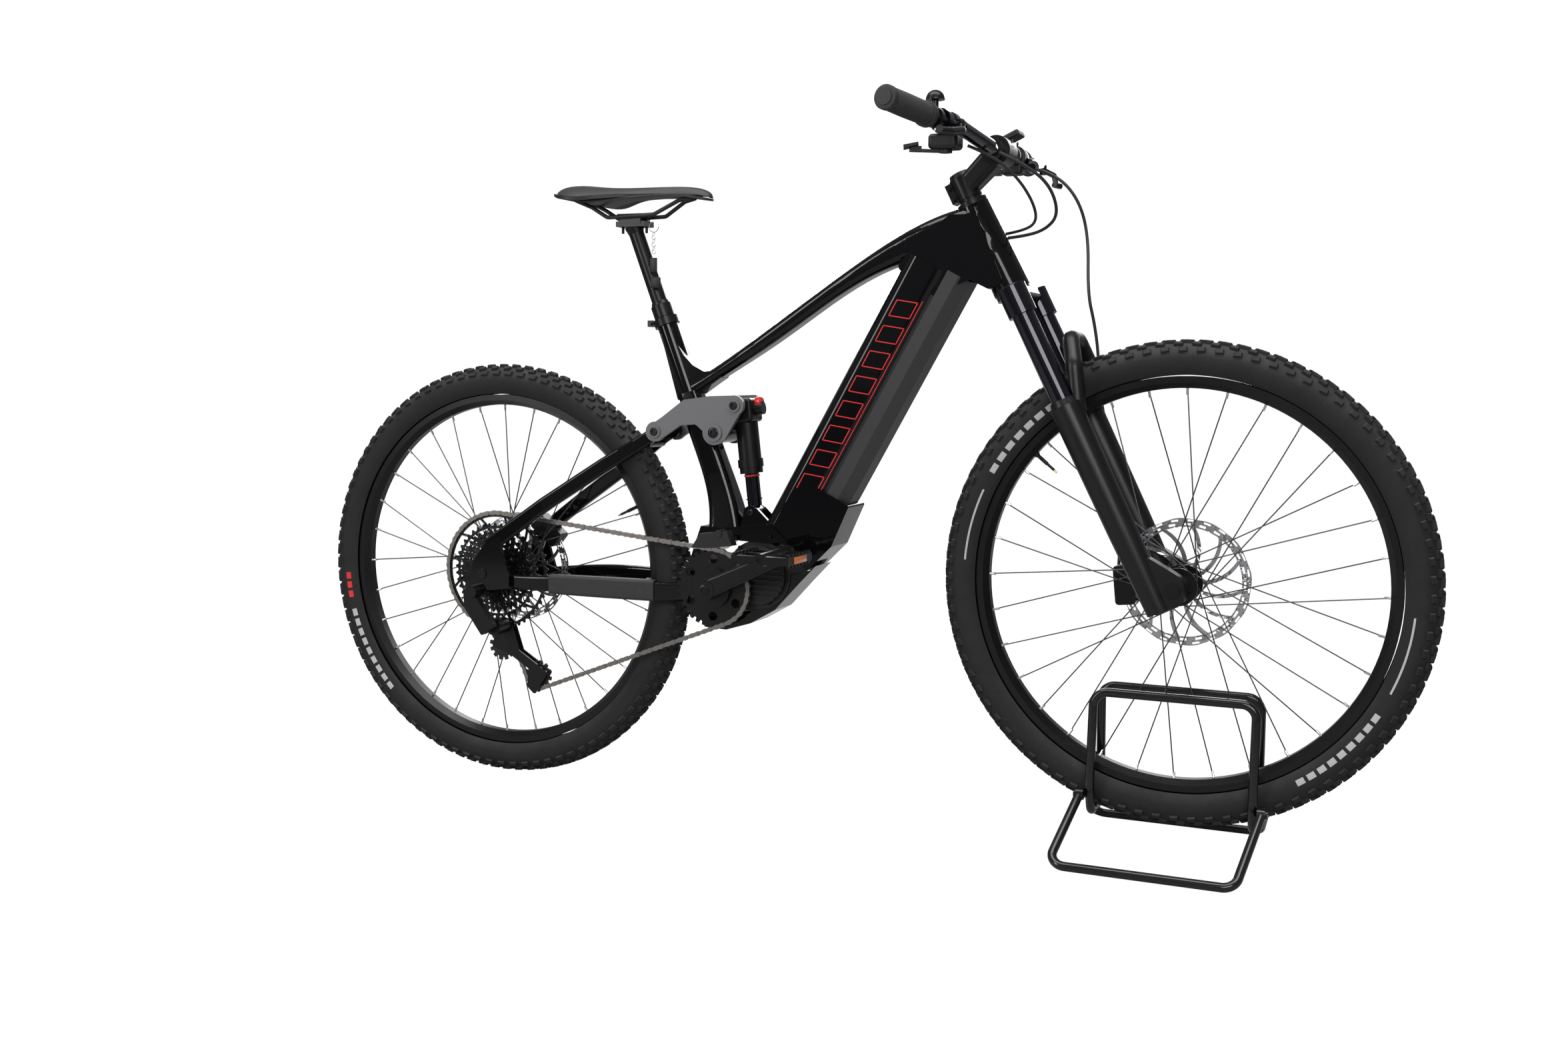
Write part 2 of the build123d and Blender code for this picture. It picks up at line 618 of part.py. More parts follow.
def headset():
    """Upper and lower bearing cups with the cover below the stem."""
    rings = []
    for low, high, outer in ((HEAD_TUBE_BOTTOM - 6, HEAD_TUBE_BOTTOM, HEAD_TUBE_RADIUS + 1.5),
                             (HEAD_TUBE_BOTTOM, HEAD_TUBE_BOTTOM + 14, CUP_RADIUS),
                             (HEAD_TUBE_TOP - 14, HEAD_TUBE_TOP, CUP_RADIUS),
                             (HEAD_TUBE_TOP, HEAD_TUBE_TOP + 8, HEAD_TUBE_RADIUS - 4)):
        rings.append(rod(head(low), head(high), outer))
    lower = rings[0] + rings[1] - rod(head(HEAD_TUBE_BOTTOM - 10), head(HEAD_TUBE_BOTTOM + 20),
                                      STEERER_RADIUS + RUNNING_FIT)
    upper = rings[2] + rings[3] - rod(head(HEAD_TUBE_TOP - 20), head(HEAD_TUBE_TOP + 20),
                                      STEERER_RADIUS + RUNNING_FIT)
    return [lower, upper]


def motor_space(grow, half):
    """The motor's outline in side view: two lobes and the block between them."""
    outline = [at(443, 327 - grow), at(443, 419 + grow), at(520, 456 + grow), at(520, 340 - grow)]
    lobes = cross_rod(CRANK_CENTRE, 46 + grow, -half, half) + cross_rod(at(520, 398), 58 + grow, -half, half)
    return lobes + side_plate(outline, -half, half)


def motor_unit():
    body = motor_space(0, 38)
    for side in (-1, 1):
        body += cross_rod(at(520, 398), 50, side * 38, side * 44)
        body += cross_rod(CRANK_CENTRE, 24, side * 38, side * 46)
        for index in range(9):
            z = 362 + index * 9
            half = sqrt(max(50 ** 2 - (z - 398) ** 2, 0)) - 2
            body += Pos(X_REAR + 520, side * 45, z) * Box(2 * half, 2.4, 3)
    body -= cross_rod(CRANK_CENTRE, SPINDLE_RADIUS + RUNNING_FIT, -60, 60)
    body -= cross_rod(MAIN_PIVOT, 16, -60, 60)
    return body


def motor_covers():
    """Belly pan under the motor and the two upper side covers with their bolts."""
    outer = [at(622, 418), at(590, 384), at(550, 340), at(505, 314), at(460, 300), at(420, 302), at(408, 322)]
    inner = [at(416, 326), at(440, 316), at(476, 330), at(512, 337), at(548, 350), at(580, 400), at(602, 404)]
    pan = side_plate(outer + inner, -36, 36) - motor_space(0.5, 40)
    covers = [pan]
    for side in (-1, 1):
        y0, y1 = sorted((side * 38, side * 43))
        cover = side_plate([at(486, 454), at(492, 472), at(546, 480), at(572, 458), at(545, 452)], y0, y1)
        covers.append(cover - cross_rod(at(545, 464), 3, -60, 60))
    return Compound(children=covers)


def chain_guide():
    """The cage over the top of the chainring, bolted to the cradle."""
    arm = side_plate([at(404, 440), at(420, 464), at(470, 470), at(480, 446), at(462, 444), at(430, 440)],
                     -CHAINLINE - 6, -CHAINLINE + 14)
    slot = side_plate([at(390, 400), at(390, 447), at(500, 447), at(500, 400)], -CHAINLINE - 4.2, -CHAINLINE + 4.2)
    boss = cross_rod(at(455, 466), 6, -CHAINLINE - 8, -38)
    return arm + boss - slot


def seat_clamp():
    axis = SEAT_AXIS
    low, high = SEAT_CLAMP_POINT + axis * 2, SEAT_CLAMP_POINT + axis * 15
    band = rod(low, high, SEAT_TUBE_RADIUS + 4) - rod(low - axis, high + axis, SEAT_TUBE_RADIUS + RUNNING_FIT)
    middle = (low + high) * 0.5 - Vector(SEAT_TUBE_RADIUS + 8, 0, 3)
    lug = Pos(middle) * Box(14, 16, 11)
    bolt = cross_rod(middle, 2.6, -12, 12)
    lug -= rod(low - axis * 20, high + axis * 20, SEAT_TUBE_RADIUS + 2)
    return joined([band, lug, bolt])


def dropper_outer():
    axis = SEAT_AXIS
    low, high = SEAT_TUBE_FOOT + axis * 17, SEAT_CLAMP_POINT + axis * 17
    tube = rod(low, high, POST_OUTER_RADIUS)
    collar = rod(high, high + axis * 22, SEAT_TUBE_RADIUS) + rod(high + axis * 22, high + axis * 28, 16.5, 15)
    whole = tube + collar
    return whole - rod(low + axis * 2, high + axis * 40, POST_RADIUS + RUNNING_FIT)


POST_TRAVEL = 110.0


def dropper_inner():
    """Sliding post with the clamp head that grips the saddle's rails."""
    axis = SEAT_AXIS
    foot = SEAT_TUBE_FOOT + axis * (19 + POST_TRAVEL + 2)
    post = rod(foot, POST_HEAD, POST_RADIUS)
    neck = rod(POST_HEAD - axis * 12, POST_HEAD + axis * 2, POST_RADIUS, 17)
    cradle = Pos(POST_HEAD + Vector(0, 0, 5)) * Box(56, 34, 9)
    lower = Pos(POST_HEAD + Vector(0, 0, 10.2)) * Box(40, 2 * RAIL_HALF_GAP - 8, 8)
    bolts = joined([rod(POST_HEAD + Vector(x, 0, -10), POST_HEAD + Vector(x, 0, 24), 2.5) for x in (-23, 23)])
    upper = Pos(POST_HEAD + Vector(0, 0, 20)) * Box(50, 2 * RAIL_HALF_GAP - 8, 5)
    return joined([post, neck, cradle, lower, bolts, upper])


RAIL_HALF_GAP = 22.0
RAIL_RADIUS = 3.5


def saddle_base():
    """Steel rails and the shell that they spring."""
    rails = []
    for side in (-1, 1):
        y = side * RAIL_HALF_GAP
        points = [at(164, 1028, side * 30), at(192, 1016, y), at(222, 998, y), at(312, 1001, y),
                  at(354, 1024, side * 12), at(376, 1028.5, side * 8)]
        rails.append(bent_rod(points, RAIL_RADIUS, 12))
    shell = saddle_form(list(reversed(SADDLE_SPLIT)), SADDLE_UNDER)
    return joined(rails + [shell])


def saddle_plan(shrink):
    half = [(130, 0), (134, 52), (152, 68), (186, 71), (222, 58), (262, 34), (310, 23), (370, 20), (404, 15),
            (413, 0)]
    left = [Vector(X_REAR + x, y * shrink) for x, y in half]
    right = [Vector(p.X, -p.Y) for p in reversed(left[1:-1])]
    return make_face(Spline(*(left + right), periodic=True))


SADDLE_TOP = [(124, 1044), (140, 1053), (170, 1056), (230, 1050), (300, 1050), (350, 1050), (398, 1042), (416, 1028)]
SADDLE_SPLIT = [(416, 1025), (370, 1034), (310, 1036), (250, 1036), (190, 1030), (150, 1034), (124, 1041)]
SADDLE_UNDER = [(416, 1022), (370, 1029), (310, 1031), (250, 1030), (190, 1023), (150, 1028), (124, 1038)]


def saddle_form(upper, lower):
    """A saddle-shaped solid between an upper and a lower side-view line."""
    side = side_plate([at(x, z) for x, z in upper + lower], -90, 90)
    return side & (Pos(0, 0, 950) * extrude(saddle_plan(1.0), 200))


def saddle_pad():
    return saddle_form(SADDLE_TOP, SADDLE_SPLIT)


# ---------------------------------------------------------------- rear suspension
def mirrored_pair(make):
    return [make(-1), make(1)]


def chainstays():
    def stay(side):
        drop = 0 if side < 0 else 12
        inner = side * (PIVOT_LUG_HALF + GAP)
        eye = cross_rod(MAIN_PIVOT, 14.5, inner, side * (PIVOT_LUG_HALF + 17.5))
        stations = [
            (at(393, 366, side * 39.5), Vector(-1, 0, 0), 28, 15, 6),
            (at(360, 360 + drop / 2, side * 43.5), Vector(-1, 0, 0), 32, 13, 5),
            (at(250, 360 + drop, side * 50), Vector(-1, 0, 0), 30, 17, 5),
            (at(130, 361 + drop / 2, side * 62), Vector(-1, 0, 0), 28, 14, 5),
            (at(52, 362, side * 68), Vector(-1, 0, 0), 20, 8, 3),
        ]
        end = cross_rod(STAY_PIVOT, 12.5, side * 64, side * 72)
        return beam(stations) + eye + end - cross_rod(STAY_PIVOT, PIN_RADIUS + RUNNING_FIT, side * 60, side * 80)

    pin = cross_rod(MAIN_PIVOT, PIN_RADIUS, -(PIVOT_LUG_HALF + 17), PIVOT_LUG_HALF + 17)
    return joined([pin] + mirrored_pair(stay))


def chainstay_guard():
    """Moulded rubber sleeve round the right chainstay."""
    def sleeve(grow, x_front, x_rear):
        stations = [
            (at(x_front, 360, -45.5), Vector(-1, 0, 0), 32.5 + grow, 15 + grow, 5),
            (at(250, 360, -50), Vector(-1, 0, 0), 32 + grow, 19 + grow, 5),
            (at(x_rear, 361, -62), Vector(-1, 0, 0), 30 + grow, 16 + grow, 5),
        ]
        return beam(stations)

    body = sleeve(4, 330, 132)
    stay_space = beam([
        (at(393, 366, -39.5), Vector(-1, 0, 0), 28.4, 15.4, 6),
        (at(360, 360, -43.5), Vector(-1, 0, 0), 32.4, 13.4, 5),
        (at(250, 360, -50), Vector(-1, 0, 0), 30.4, 17.4, 5),
        (at(130, 361, -62), Vector(-1, 0, 0), 28.4, 14.4, 5),
        (at(52, 362, -68), Vector(-1, 0, 0), 20.4, 8.4, 3),
    ])
    return body - stay_space


def seatstays():
    def stay(side):
        dropout = side_plate([at(-10, 328), at(-28, 332), at(-27, 352), at(-20, 392), at(8, 430), at(34, 440), at(56, 372), at(56, 350),
                              at(30, 346), at(8, 344)], min(side * 74.3, side * 81), max(side * 74.3, side * 81))
        stations = [
            (at(14, 424, side * 77), Vector(0.8, 0, 0.6), 28, 8, 3),
            (at(120, 500, side * 66), Vector(0.82, 0, 0.57), 26, 15, 5),
            (at(230, 572, side * 49), Vector(0.82, 0, 0.57), 26, 14, 5),
            (at(262, 592, side * 42.5), Vector(0.83, 0, 0.56), 25, 13, 5),
            (at(286, 608, side * 33.5), Vector(0.83, 0, 0.55), 24, 12, 5),
            (at(306, 621, side * 29), Vector(0.83, 0, 0.55), 23, 11, 4),
            (at(330, 636, side * 29), Vector(0.83, 0, 0.55), 22, 11, 4),
        ]
        tip = cross_rod(ROCKER_REAR, 13, side * 23, side * (ROCKER_INNER - 0.6))
        pin = cross_rod(STAY_PIVOT, PIN_RADIUS, side * 63, side * 76)
        bolt = cross_rod(STAY_PIVOT, 11, side * 72.4, side * 76)
        return joined([dropout, beam(stations, ruled=True), tip, pin, bolt])

    bridge = cross_rod(at(304, 611), 6.5, -28, 28)
    axle_holes = cross_rod(REAR_AXLE, AXLE_RADIUS + 0.01, -90, 90)
    return joined(mirrored_pair(stay) + [bridge]) - axle_holes


def rear_axle():
    shaft = cross_rod(REAR_AXLE, AXLE_RADIUS, -82, 84)
    return shaft + cross_rod(REAR_AXLE, 10.5, 81.1, 88) + cross_rod(REAR_AXLE, 9, -83, -81.1)


def caliper(centre_angle, wheel_centre, y):
    """Two-piston brake body that straddles the rotor's rim."""
    direction = Vector(cos(centre_angle), 0, sin(centre_angle))
    middle = wheel_centre + direction * (ROTOR_RADIUS - 8) + Vector(0, y, 0)
    plane = Plane(origin=middle, x_dir=direction, z_dir=(0, 1, 0))
    body = plane * Box(32, 62, 26)
    body = fillet(body.edges().filter_by(Axis.Y), 6)
    slot = Pos(0, 0, 0) * (plane * (Pos(-6, 0, 0) * Box(36, 80, ROTOR_THICKNESS + 1.6)))
    return body - slot


def rear_caliper():
    body = caliper(radians(50), REAR_AXLE, REAR_ROTOR_Y)
    middle = at(58, 443, REAR_ROTOR_Y)
    for x, z in ((-12, -16), (10, 10)):
        body += rod(middle + Vector(x, 10, z), middle + Vector(x - 4, 20, z + 3), 6)
    return body - seatstays()


def front_caliper():
    body = caliper(radians(186), FRONT_AXLE, FRONT_ROTOR_Y)
    middle = FRONT_AXLE + Vector(-91, FRONT_ROTOR_Y, -10)
    for z in (-20, 22):
        body += rod(middle + Vector(10, 8, z), middle + Vector(48, 18, z + 2), 6)
    return body - fork_lowers()


def rocker_outline():
    return [at(312, 640), at(340, 658), at(381, 688), at(430, 695), at(478, 697), at(492, 678), at(458, 622),
            at(436, 612), at(420, 634), at(404, 647), at(374, 645), at(336, 620)]


def rocker_links():
    """The two rocker plates with their pivot bolts."""
    pieces = []
    for side in (-1, 1):
        inner, outer = side * ROCKER_INNER, side * (ROCKER_INNER + ROCKER_THICKNESS)
        y0, y1 = min(inner, outer), max(inner, outer)
        plate = side_plate(rocker_outline(), y0, y1, 5)
        for centre, radius in ((ROCKER_REAR, 17), (ROCKER_PIVOT, 21), (ROCKER_SHOCK, 17)):
            plate += cross_rod(centre, radius, y0, y1)
            plate += cross_rod(centre, radius - 6, outer, outer + side * 2.5)
        plate += cross_rod(ROCKER_PIVOT, PIN_RADIUS, 0, inner)
        pieces.append(plate)
    return joined(pieces)


def shock_axis():
    return (ROCKER_SHOCK - SHOCK_FOOT).normalized()


SHOCK_CAN_RADIUS = 19.0
SHOCK_SHAFT_RADIUS = 12.0
SHOCK_STROKE = 45.0


def shock_shaft():
    up = shock_axis()
    shaft = rod(SHOCK_FOOT + up * 10, SHOCK_FOOT + up * 118, SHOCK_SHAFT_RADIUS)
    eye = cross_rod(SHOCK_FOOT, 11, -14.6, 14.6)
    travel_ring = rod(SHOCK_FOOT + up * 21, SHOCK_FOOT + up * 23, SHOCK_SHAFT_RADIUS + 1.6)
    return joined([shaft, eye, travel_ring])


def shock_can():
    up = shock_axis()
    can = rod(SHOCK_FOOT + up * 66, SHOCK_FOOT + up * 76, SHOCK_CAN_RADIUS + 0.5)
    can += rod(SHOCK_FOOT + up * 76, SHOCK_FOOT + up * 152, SHOCK_CAN_RADIUS)
    can += rod(SHOCK_FOOT + up * 76, SHOCK_FOOT + up * 90, SHOCK_CAN_RADIUS + 2.5)
    plane = Plane(origin=SHOCK_FOOT + up * 172, x_dir=Vector(0, 1, 0), z_dir=up)
    top = plane * Box(48, 42, 40)
    top = fillet(top.edges(), 6)
    trunnion = cross_rod(ROCKER_SHOCK, 11, -(ROCKER_INNER - 0.6), ROCKER_INNER - 0.6)
    knob = rod(SHOCK_FOOT + up * 176 + Vector(20, 0, 0), SHOCK_FOOT + up * 176 + Vector(34, 0, 2), 12, 11)
    can += joined([top, trunnion, knob])
    can -= rod(SHOCK_FOOT + up * 50, SHOCK_FOOT + up * (118 + SHOCK_STROKE - 3), SHOCK_SHAFT_RADIUS + RUNNING_FIT)
    return can


def derailleur_body():
    """Hanger knuckle, outer link pair and cage knuckle, outside the dropout."""
    b_knuckle = at(-14, 341)
    p_knuckle = at(18, 277)
    body = cross_rod(b_knuckle, 12, -98, -81)
    body += cross_rod(p_knuckle, 15, -74, CHAIN_REAR_Y - 11)
    outer = side_plate([at(-30, 342), at(-2, 330), at(34, 282), at(8, 264), at(-28, 312)], -96, -84)
    outer = fillet(outer.edges().filter_by(Axis.Y), 4)
    link = rod(at(6, 300, -88), at(18, 280, -66), 9)
    return joined([body, outer, link])


def derailleur_cage():
    y_outer, y_inner = CHAIN_REAR_Y - 8.5, CHAIN_REAR_Y + 6
    p_knuckle = at(18, 277)
    plates = []
    for y0, y1 in ((y_outer, y_outer + 2.5), (y_inner, y_inner + 2.0)):
        plate = side_plate([at(6, 288), at(32, 284), at(50, 232), at(110, 196), at(82, 154), at(66, 168),
                            at(70, 200), at(26, 226), at(-8, 236), at(4, 262)], y0, y1, 4)
        plates.append(plate)
    for centre in (GUIDE_WHEEL, TENSION_WHEEL):
        plates.append(cross_rod(centre, 3.5, y_outer, y_inner + 2))
    plates.append(cross_rod(p_knuckle, 5, y_outer - 2, y_outer + 2))
    return joined(plates)


def jockey(centre):
    return cog(centre, JOCKEY_TEETH, CHAIN_REAR_Y, 2.2, bore=3.5 + RUNNING_FIT)


# ---------------------------------------------------------------- fork and cockpit
def fork_upper():
    """Steerer, forged crown and the two stanchions."""
    steerer = rod(head(CROWN_TOP - 6), head(HEAD_TUBE_TOP + 55.8), STEERER_RADIUS)
    race = rod(head(CROWN_TOP - 6), head(HEAD_TUBE_BOTTOM - 6 - GAP), HEAD_TUBE_RADIUS)
    crown_half = Plane(origin=head(CROWN_TOP - 12, STANCHION_OFFSET - 4), x_dir=Vector(0, 1, 0), z_dir=HEAD_UP)
    bridge = crown_half * Box(2 * LEG_SPACING, 40, 22)
    bridge = fillet(bridge.edges(), 8)
    pieces = [steerer, race, bridge]
    for side in (-1, 1):
        y = side * LEG_SPACING
        pieces.append(rod(head(CROWN_BOTTOM, STANCHION_OFFSET, y), head(CROWN_TOP - 3, STANCHION_OFFSET, y),
                          CROWN_SLEEVE_RADIUS))
        pieces.append(rod(head(190, STANCHION_OFFSET, y), head(CROWN_BOTTOM + 2, STANCHION_OFFSET, y),
                          STANCHION_RADIUS))
    return joined(pieces)


FORK_TRAVEL = 120.0


def fork_lowers():
    """Magnesium lowers: two legs, the arch in front and the dropouts."""
    pieces = []
    for side in (-1, 1):
        y = side * LEG_SPACING
        upper = rod(head(110, STANCHION_OFFSET, y), head(LOWERS_TOP, STANCHION_OFFSET, y), 22.5, 24.5)
        lower = rod(head(-22, STANCHION_OFFSET, y), head(110, STANCHION_OFFSET, y), 19.5, 22.5)
        seal = rod(head(LOWERS_TOP, STANCHION_OFFSET, y), head(LOWERS_TOP + 10, STANCHION_OFFSET, y), 22, 20)
        y0, y1 = sorted((side * (FRONT_DROPOUT_HALF + GAP), side * (LEG_SPACING + 12)))
        foot = side_plate([head(-24, 6), head(-22, 56), head(14, 66), head(60, 34), head(60, 8)], y0, y1)
        foot = fillet(foot.edges().filter_by(Axis.Y), 5)
        pieces += [upper, lower, seal, foot]
    arch_points = [head(LOWERS_TOP - 14, STANCHION_OFFSET + 14, -LEG_SPACING + 6), head(370, 50, -56),
                   head(412, 56, -24), head(412, 56, 24), head(370, 50, 56),
                   head(LOWERS_TOP - 14, STANCHION_OFFSET + 14, LEG_SPACING - 6)]
    pieces.append(bent_rod(arch_points, 13, 22))
    lowers = joined(pieces)
    for side in (-1, 1):
        y = side * LEG_SPACING
        lowers -= rod(head(190 - FORK_TRAVEL + 100, STANCHION_OFFSET, y), head(LOWERS_TOP + 12, STANCHION_OFFSET, y),
                      STANCHION_RADIUS + RUNNING_FIT)
        lowers -= rod(head(60, STANCHION_OFFSET, y), head(190 - FORK_TRAVEL + 101, STANCHION_OFFSET, y),
                      STANCHION_RADIUS + 0.5)
        lowers -= rod(head(LOWERS_TOP + 10, STANCHION_OFFSET, y), head(480, STANCHION_OFFSET, y),
                      STANCHION_RADIUS + 3)
        lowers -= rod(head(CROWN_BOTTOM - FORK_TRAVEL - 2, STANCHION_OFFSET, y),
                      head(480, STANCHION_OFFSET, y), CROWN_SLEEVE_RADIUS + 1)
    return lowers - cross_rod(FRONT_AXLE, AXLE_RADIUS + 0.01, -100, 100)


def front_axle():
    shaft = cross_rod(FRONT_AXLE, AXLE_RADIUS, -LEG_SPACING - 15, LEG_SPACING + 12)
    return shaft + cross_rod(FRONT_AXLE, 10.5, -LEG_SPACING - 18, -LEG_SPACING - 12.1)


STEM_LOW = HEAD_TUBE_TOP + 14
STEM_HIGH = HEAD_TUBE_TOP + 50


def stem():
    """Short stem: steerer clamp with two rear bolts and the four-bolt bar clamp."""
    low, high = head(STEM_LOW), head(STEM_HIGH)
    middle = (low + high) * 0.5
    clamp = rod(low, high, 20)
    bar = cross_rod(BAR_CENTRE, 23, -24, 24)
    body = beam([
        (middle, (BAR_CENTRE - middle).normalized(), 34, 34, 9),
        (BAR_CENTRE, (BAR_CENTRE - middle).normalized(), 36, 44, 9),
    ])
    lug = Plane(origin=middle - HEAD_FORWARD * 20, x_dir=HEAD_FORWARD, z_dir=HEAD_UP) * Box(14, 24, 32)
    spacer = rod(head(HEAD_TUBE_TOP + 8 + GAP), head(STEM_LOW), 18)
    cap = rod(head(STEM_HIGH), head(STEM_HIGH + 7), 19, 17)
    bolts = []
    for share in (0.25, 0.75):
        place = low + (high - low) * share - HEAD_FORWARD * 22
        bolts.append(cross_rod(place, 3.6, -16, 16))
    whole = joined([clamp, bar, body, lug, spacer, cap] + bolts)
    whole -= rod(head(HEAD_TUBE_TOP), head(STEM_HIGH + 5.9), STEERER_RADIUS + 0.01)
    return whole - cross_rod(BAR_CENTRE, BAR_CLAMP_RADIUS + 0.01, -60, 60)


def bar_point(y):
    """The handlebar's centre line: straight clamp, rise, then backsweep to the grips."""
    reach = abs(y)
    if reach <= 60:
        return Vector(BAR_CENTRE.X, y, BAR_CENTRE.Z)
    if reach <= 130:
        share = (reach - 60) / 70
        return BAR_CENTRE + Vector(-14 * share, y, 14 * share)
    share = (reach - 130) / (BAR_HALF_WIDTH - 130)
    return BAR_CENTRE + Vector(-14 - 40 * share, y, 14 + 12 * share)


def handlebar():
    points = [bar_point(y) for y in (-BAR_HALF_WIDTH + 2, -130, -60, 60, 130, BAR_HALF_WIDTH - 2)]
    tube = bent_rod(points, BAR_RADIUS, 50)
    return tube + cross_rod(BAR_CENTRE, BAR_CLAMP_RADIUS, -45, 45)


def grip(side):
    outer, inner = side * BAR_HALF_WIDTH, side * (BAR_HALF_WIDTH - GRIP_LENGTH)
    direction = (bar_point(outer) - bar_point(inner)).normalized()
    body = rod(bar_point(inner), bar_point(outer), GRIP_RADIUS)
    flange = rod(bar_point(inner), bar_point(inner) + direction * 8, GRIP_RADIUS + 1.5)
    bore = rod(bar_point(inner) - direction, bar_point(side * (BAR_HALF_WIDTH - 2)) + direction * 0.2,
               BAR_RADIUS + 0.01)
    return body + flange - bore


def clamp_on_bar(y, width, radius=17.0):
    """A split band round the bar at a given place."""
    side = 1 if y > 0 else -1
    direction = (bar_point(y + side * 5) - bar_point(y)).normalized()
    centre = bar_point(y)
    band = rod(centre - direction * (width / 2), centre + direction * (width / 2), radius)
    return band - rod(centre - direction * width, centre + direction * width, BAR_RADIUS + 0.01)


def lever_pivot(side):
    return bar_point(side * 222) + Vector(38, 0, -18)


def brake_master(side):
    """Master cylinder that lies beside the bar and points inboard."""
    start = lever_pivot(side) + Vector(-6, side * 6, 6)
    end = bar_point(side * 128) + Vector(34, 0, -22)
    body = rod(start, end, 11.5, 10.5)
    boot = rod(end, end + (end - start).normalized() * 16, 10.5, 6)
    arm = rod(bar_point(side * 214) + Vector(14, 0, -6), start, 7)
    band = clamp_on_bar(side * 214, 14)
    return joined([body, boot, arm, band])


def brake_masters():
    pieces = []
    for side in (-1, 1):
        clearance = cross_rod(lever_pivot(side), 8.5, side * 228, side * 250)
        pieces.append(brake_master(side) - clearance)
    return Compound(children=pieces)


def brake_lever(side):
    """Curved two-finger blade with its pivot barrel."""
    pivot = lever_pivot(side) + Vector(0, side * 18, 0)
    barrel = rod(pivot - Vector(0, 0, 8), pivot + Vector(0, 0, 8), 6)
    points = [pivot, pivot + Vector(12, side * 30, -6), pivot + Vector(6, side * 66, -12),
              pivot + Vector(-4, side * 96, -14), pivot + Vector(4, side * 112, -15)]
    blade = bent_rod(points, 5, 14)
    return barrel + blade


def shifter_body():
    place = bar_point(-190) + Vector(-5, 0, -26)
    body = Pos(place) * Box(44, 38, 22)
    body = fillet(body.edges(), 6)
    arm = rod(bar_point(-190) + Vector(2, 0, -14), place, 7)
    pivot_hole = rod(place - Vector(0, 0, 20), place - Vector(0, 0, 3), 3 + RUNNING_FIT)
    return joined([body, arm, clamp_on_bar(-190, 12)]) - pivot_hole


def shift_paddle():
    root = bar_point(-190) + Vector(-5, 0, -37.3)
    hub_disc = rod(root, root - Vector(0, 0, 4), 10) + rod(root, root + Vector(0, 0, 7), 3)
    arm = Pos(root + Vector(-22, -14, -2)) * (Rot(0, 0, 32) * Box(48, 12, 3.6))
    pad = Pos(root + Vector(-43, -30, 4)) * (Rot(0, -12, 20) * Box(22, 20, 4))
    web = Pos(root + Vector(-38, -24, 0)) * (Rot(0, 0, 32) * Box(16, 11, 8))
    return joined([hub_disc, arm, web, pad])


def left_controls():
    """Drive remote with its display and the seat remote's clamp and body."""
    display = bar_point(95) + Vector(-4, 0, 26)
    screen = Pos(display) * (Rot(0, -25, 0) * Box(44, 40, 10))
    screen = fillet(screen.edges(), 3)
    stalk = rod(bar_point(95) + Vector(0, 0, 13), display, 6)
    remote = Pos(bar_point(178) + Vector(-4, 0, -22)) * Box(34, 26, 18)
    remote = fillet(remote.edges(), 5)
    remote_arm = rod(bar_point(178) + Vector(0, 0, -13), bar_point(178) + Vector(-2, 0, -20), 6)
    first = joined([screen, stalk, clamp_on_bar(95, 12, 15)])
    second = joined([remote, remote_arm, clamp_on_bar(178, 12)])
    return Compound(children=[first, second])


def seat_remote_lever():
    root = bar_point(178) + Vector(-25.4, 0, -24)
    barrel = rod(root + Vector(0, -9, 0), root + Vector(0, 9, 0), 4)
    pad = Pos(root + Vector(-17, 8, -3)) * Box(30, 16, 4)
    return barrel + pad


def bell():
    """Domed bell on its own band."""
    y = -236
    base = bar_point(y) + Vector(0, 0, BAR_RADIUS + 4)
    stalk = rod(base, base + Vector(0, 0, 10), 5)
    dome = Pos(base + Vector(0, 0, 10)) * (Sphere(14) & Pos(0, 0, 10) * Box(40, 40, 20))
    return joined([stalk, dome, clamp_on_bar(y, 9, 15)])


# ---------------------------------------------------------------- floor stand
def stand_cradle():
    """Two hoops beside the wheel, joined by two bends under the tyre."""
    reach = TYRE_RADIUS + STAND_ROD / 2 + GAP
    seat_height = FRONT_AXLE.Z - sqrt(reach ** 2 - STAND_HALF_LENGTH ** 2)
    radius = STAND_ROD / 2
    rods = []
    for side in (-1, 1):
        x = side * STAND_HALF_LENGTH
        gap, shoulder = STAND_HOOP_HALF_GAP, STAND_SHOULDER_HALF_GAP
        top = Vector(FRONT_AXLE.X + x, gap, STAND_HEIGHT)
        bend = [Vector(FRONT_AXLE.X, -gap, STAND_HEIGHT), Vector(top.X, -gap, STAND_HEIGHT),
                Vector(top.X, -shoulder, STAND_SHOULDER_HEIGHT), Vector(top.X, -27, seat_height),
                Vector(top.X, 27, seat_height), Vector(top.X, shoulder, STAND_SHOULDER_HEIGHT), top,
                Vector(FRONT_AXLE.X, gap, STAND_HEIGHT)]
        rods.append(bent_rod(bend, radius, [22, 22, 16, 16, 22, 22]))
    return joined(rods)


def stand_pivot(side):
    """Centre line of a foot loop's bolts."""
    return Vector(FRONT_AXLE.X, side * (STAND_SHOULDER_HALF_GAP + 4), STAND_SHOULDER_HEIGHT - 8)


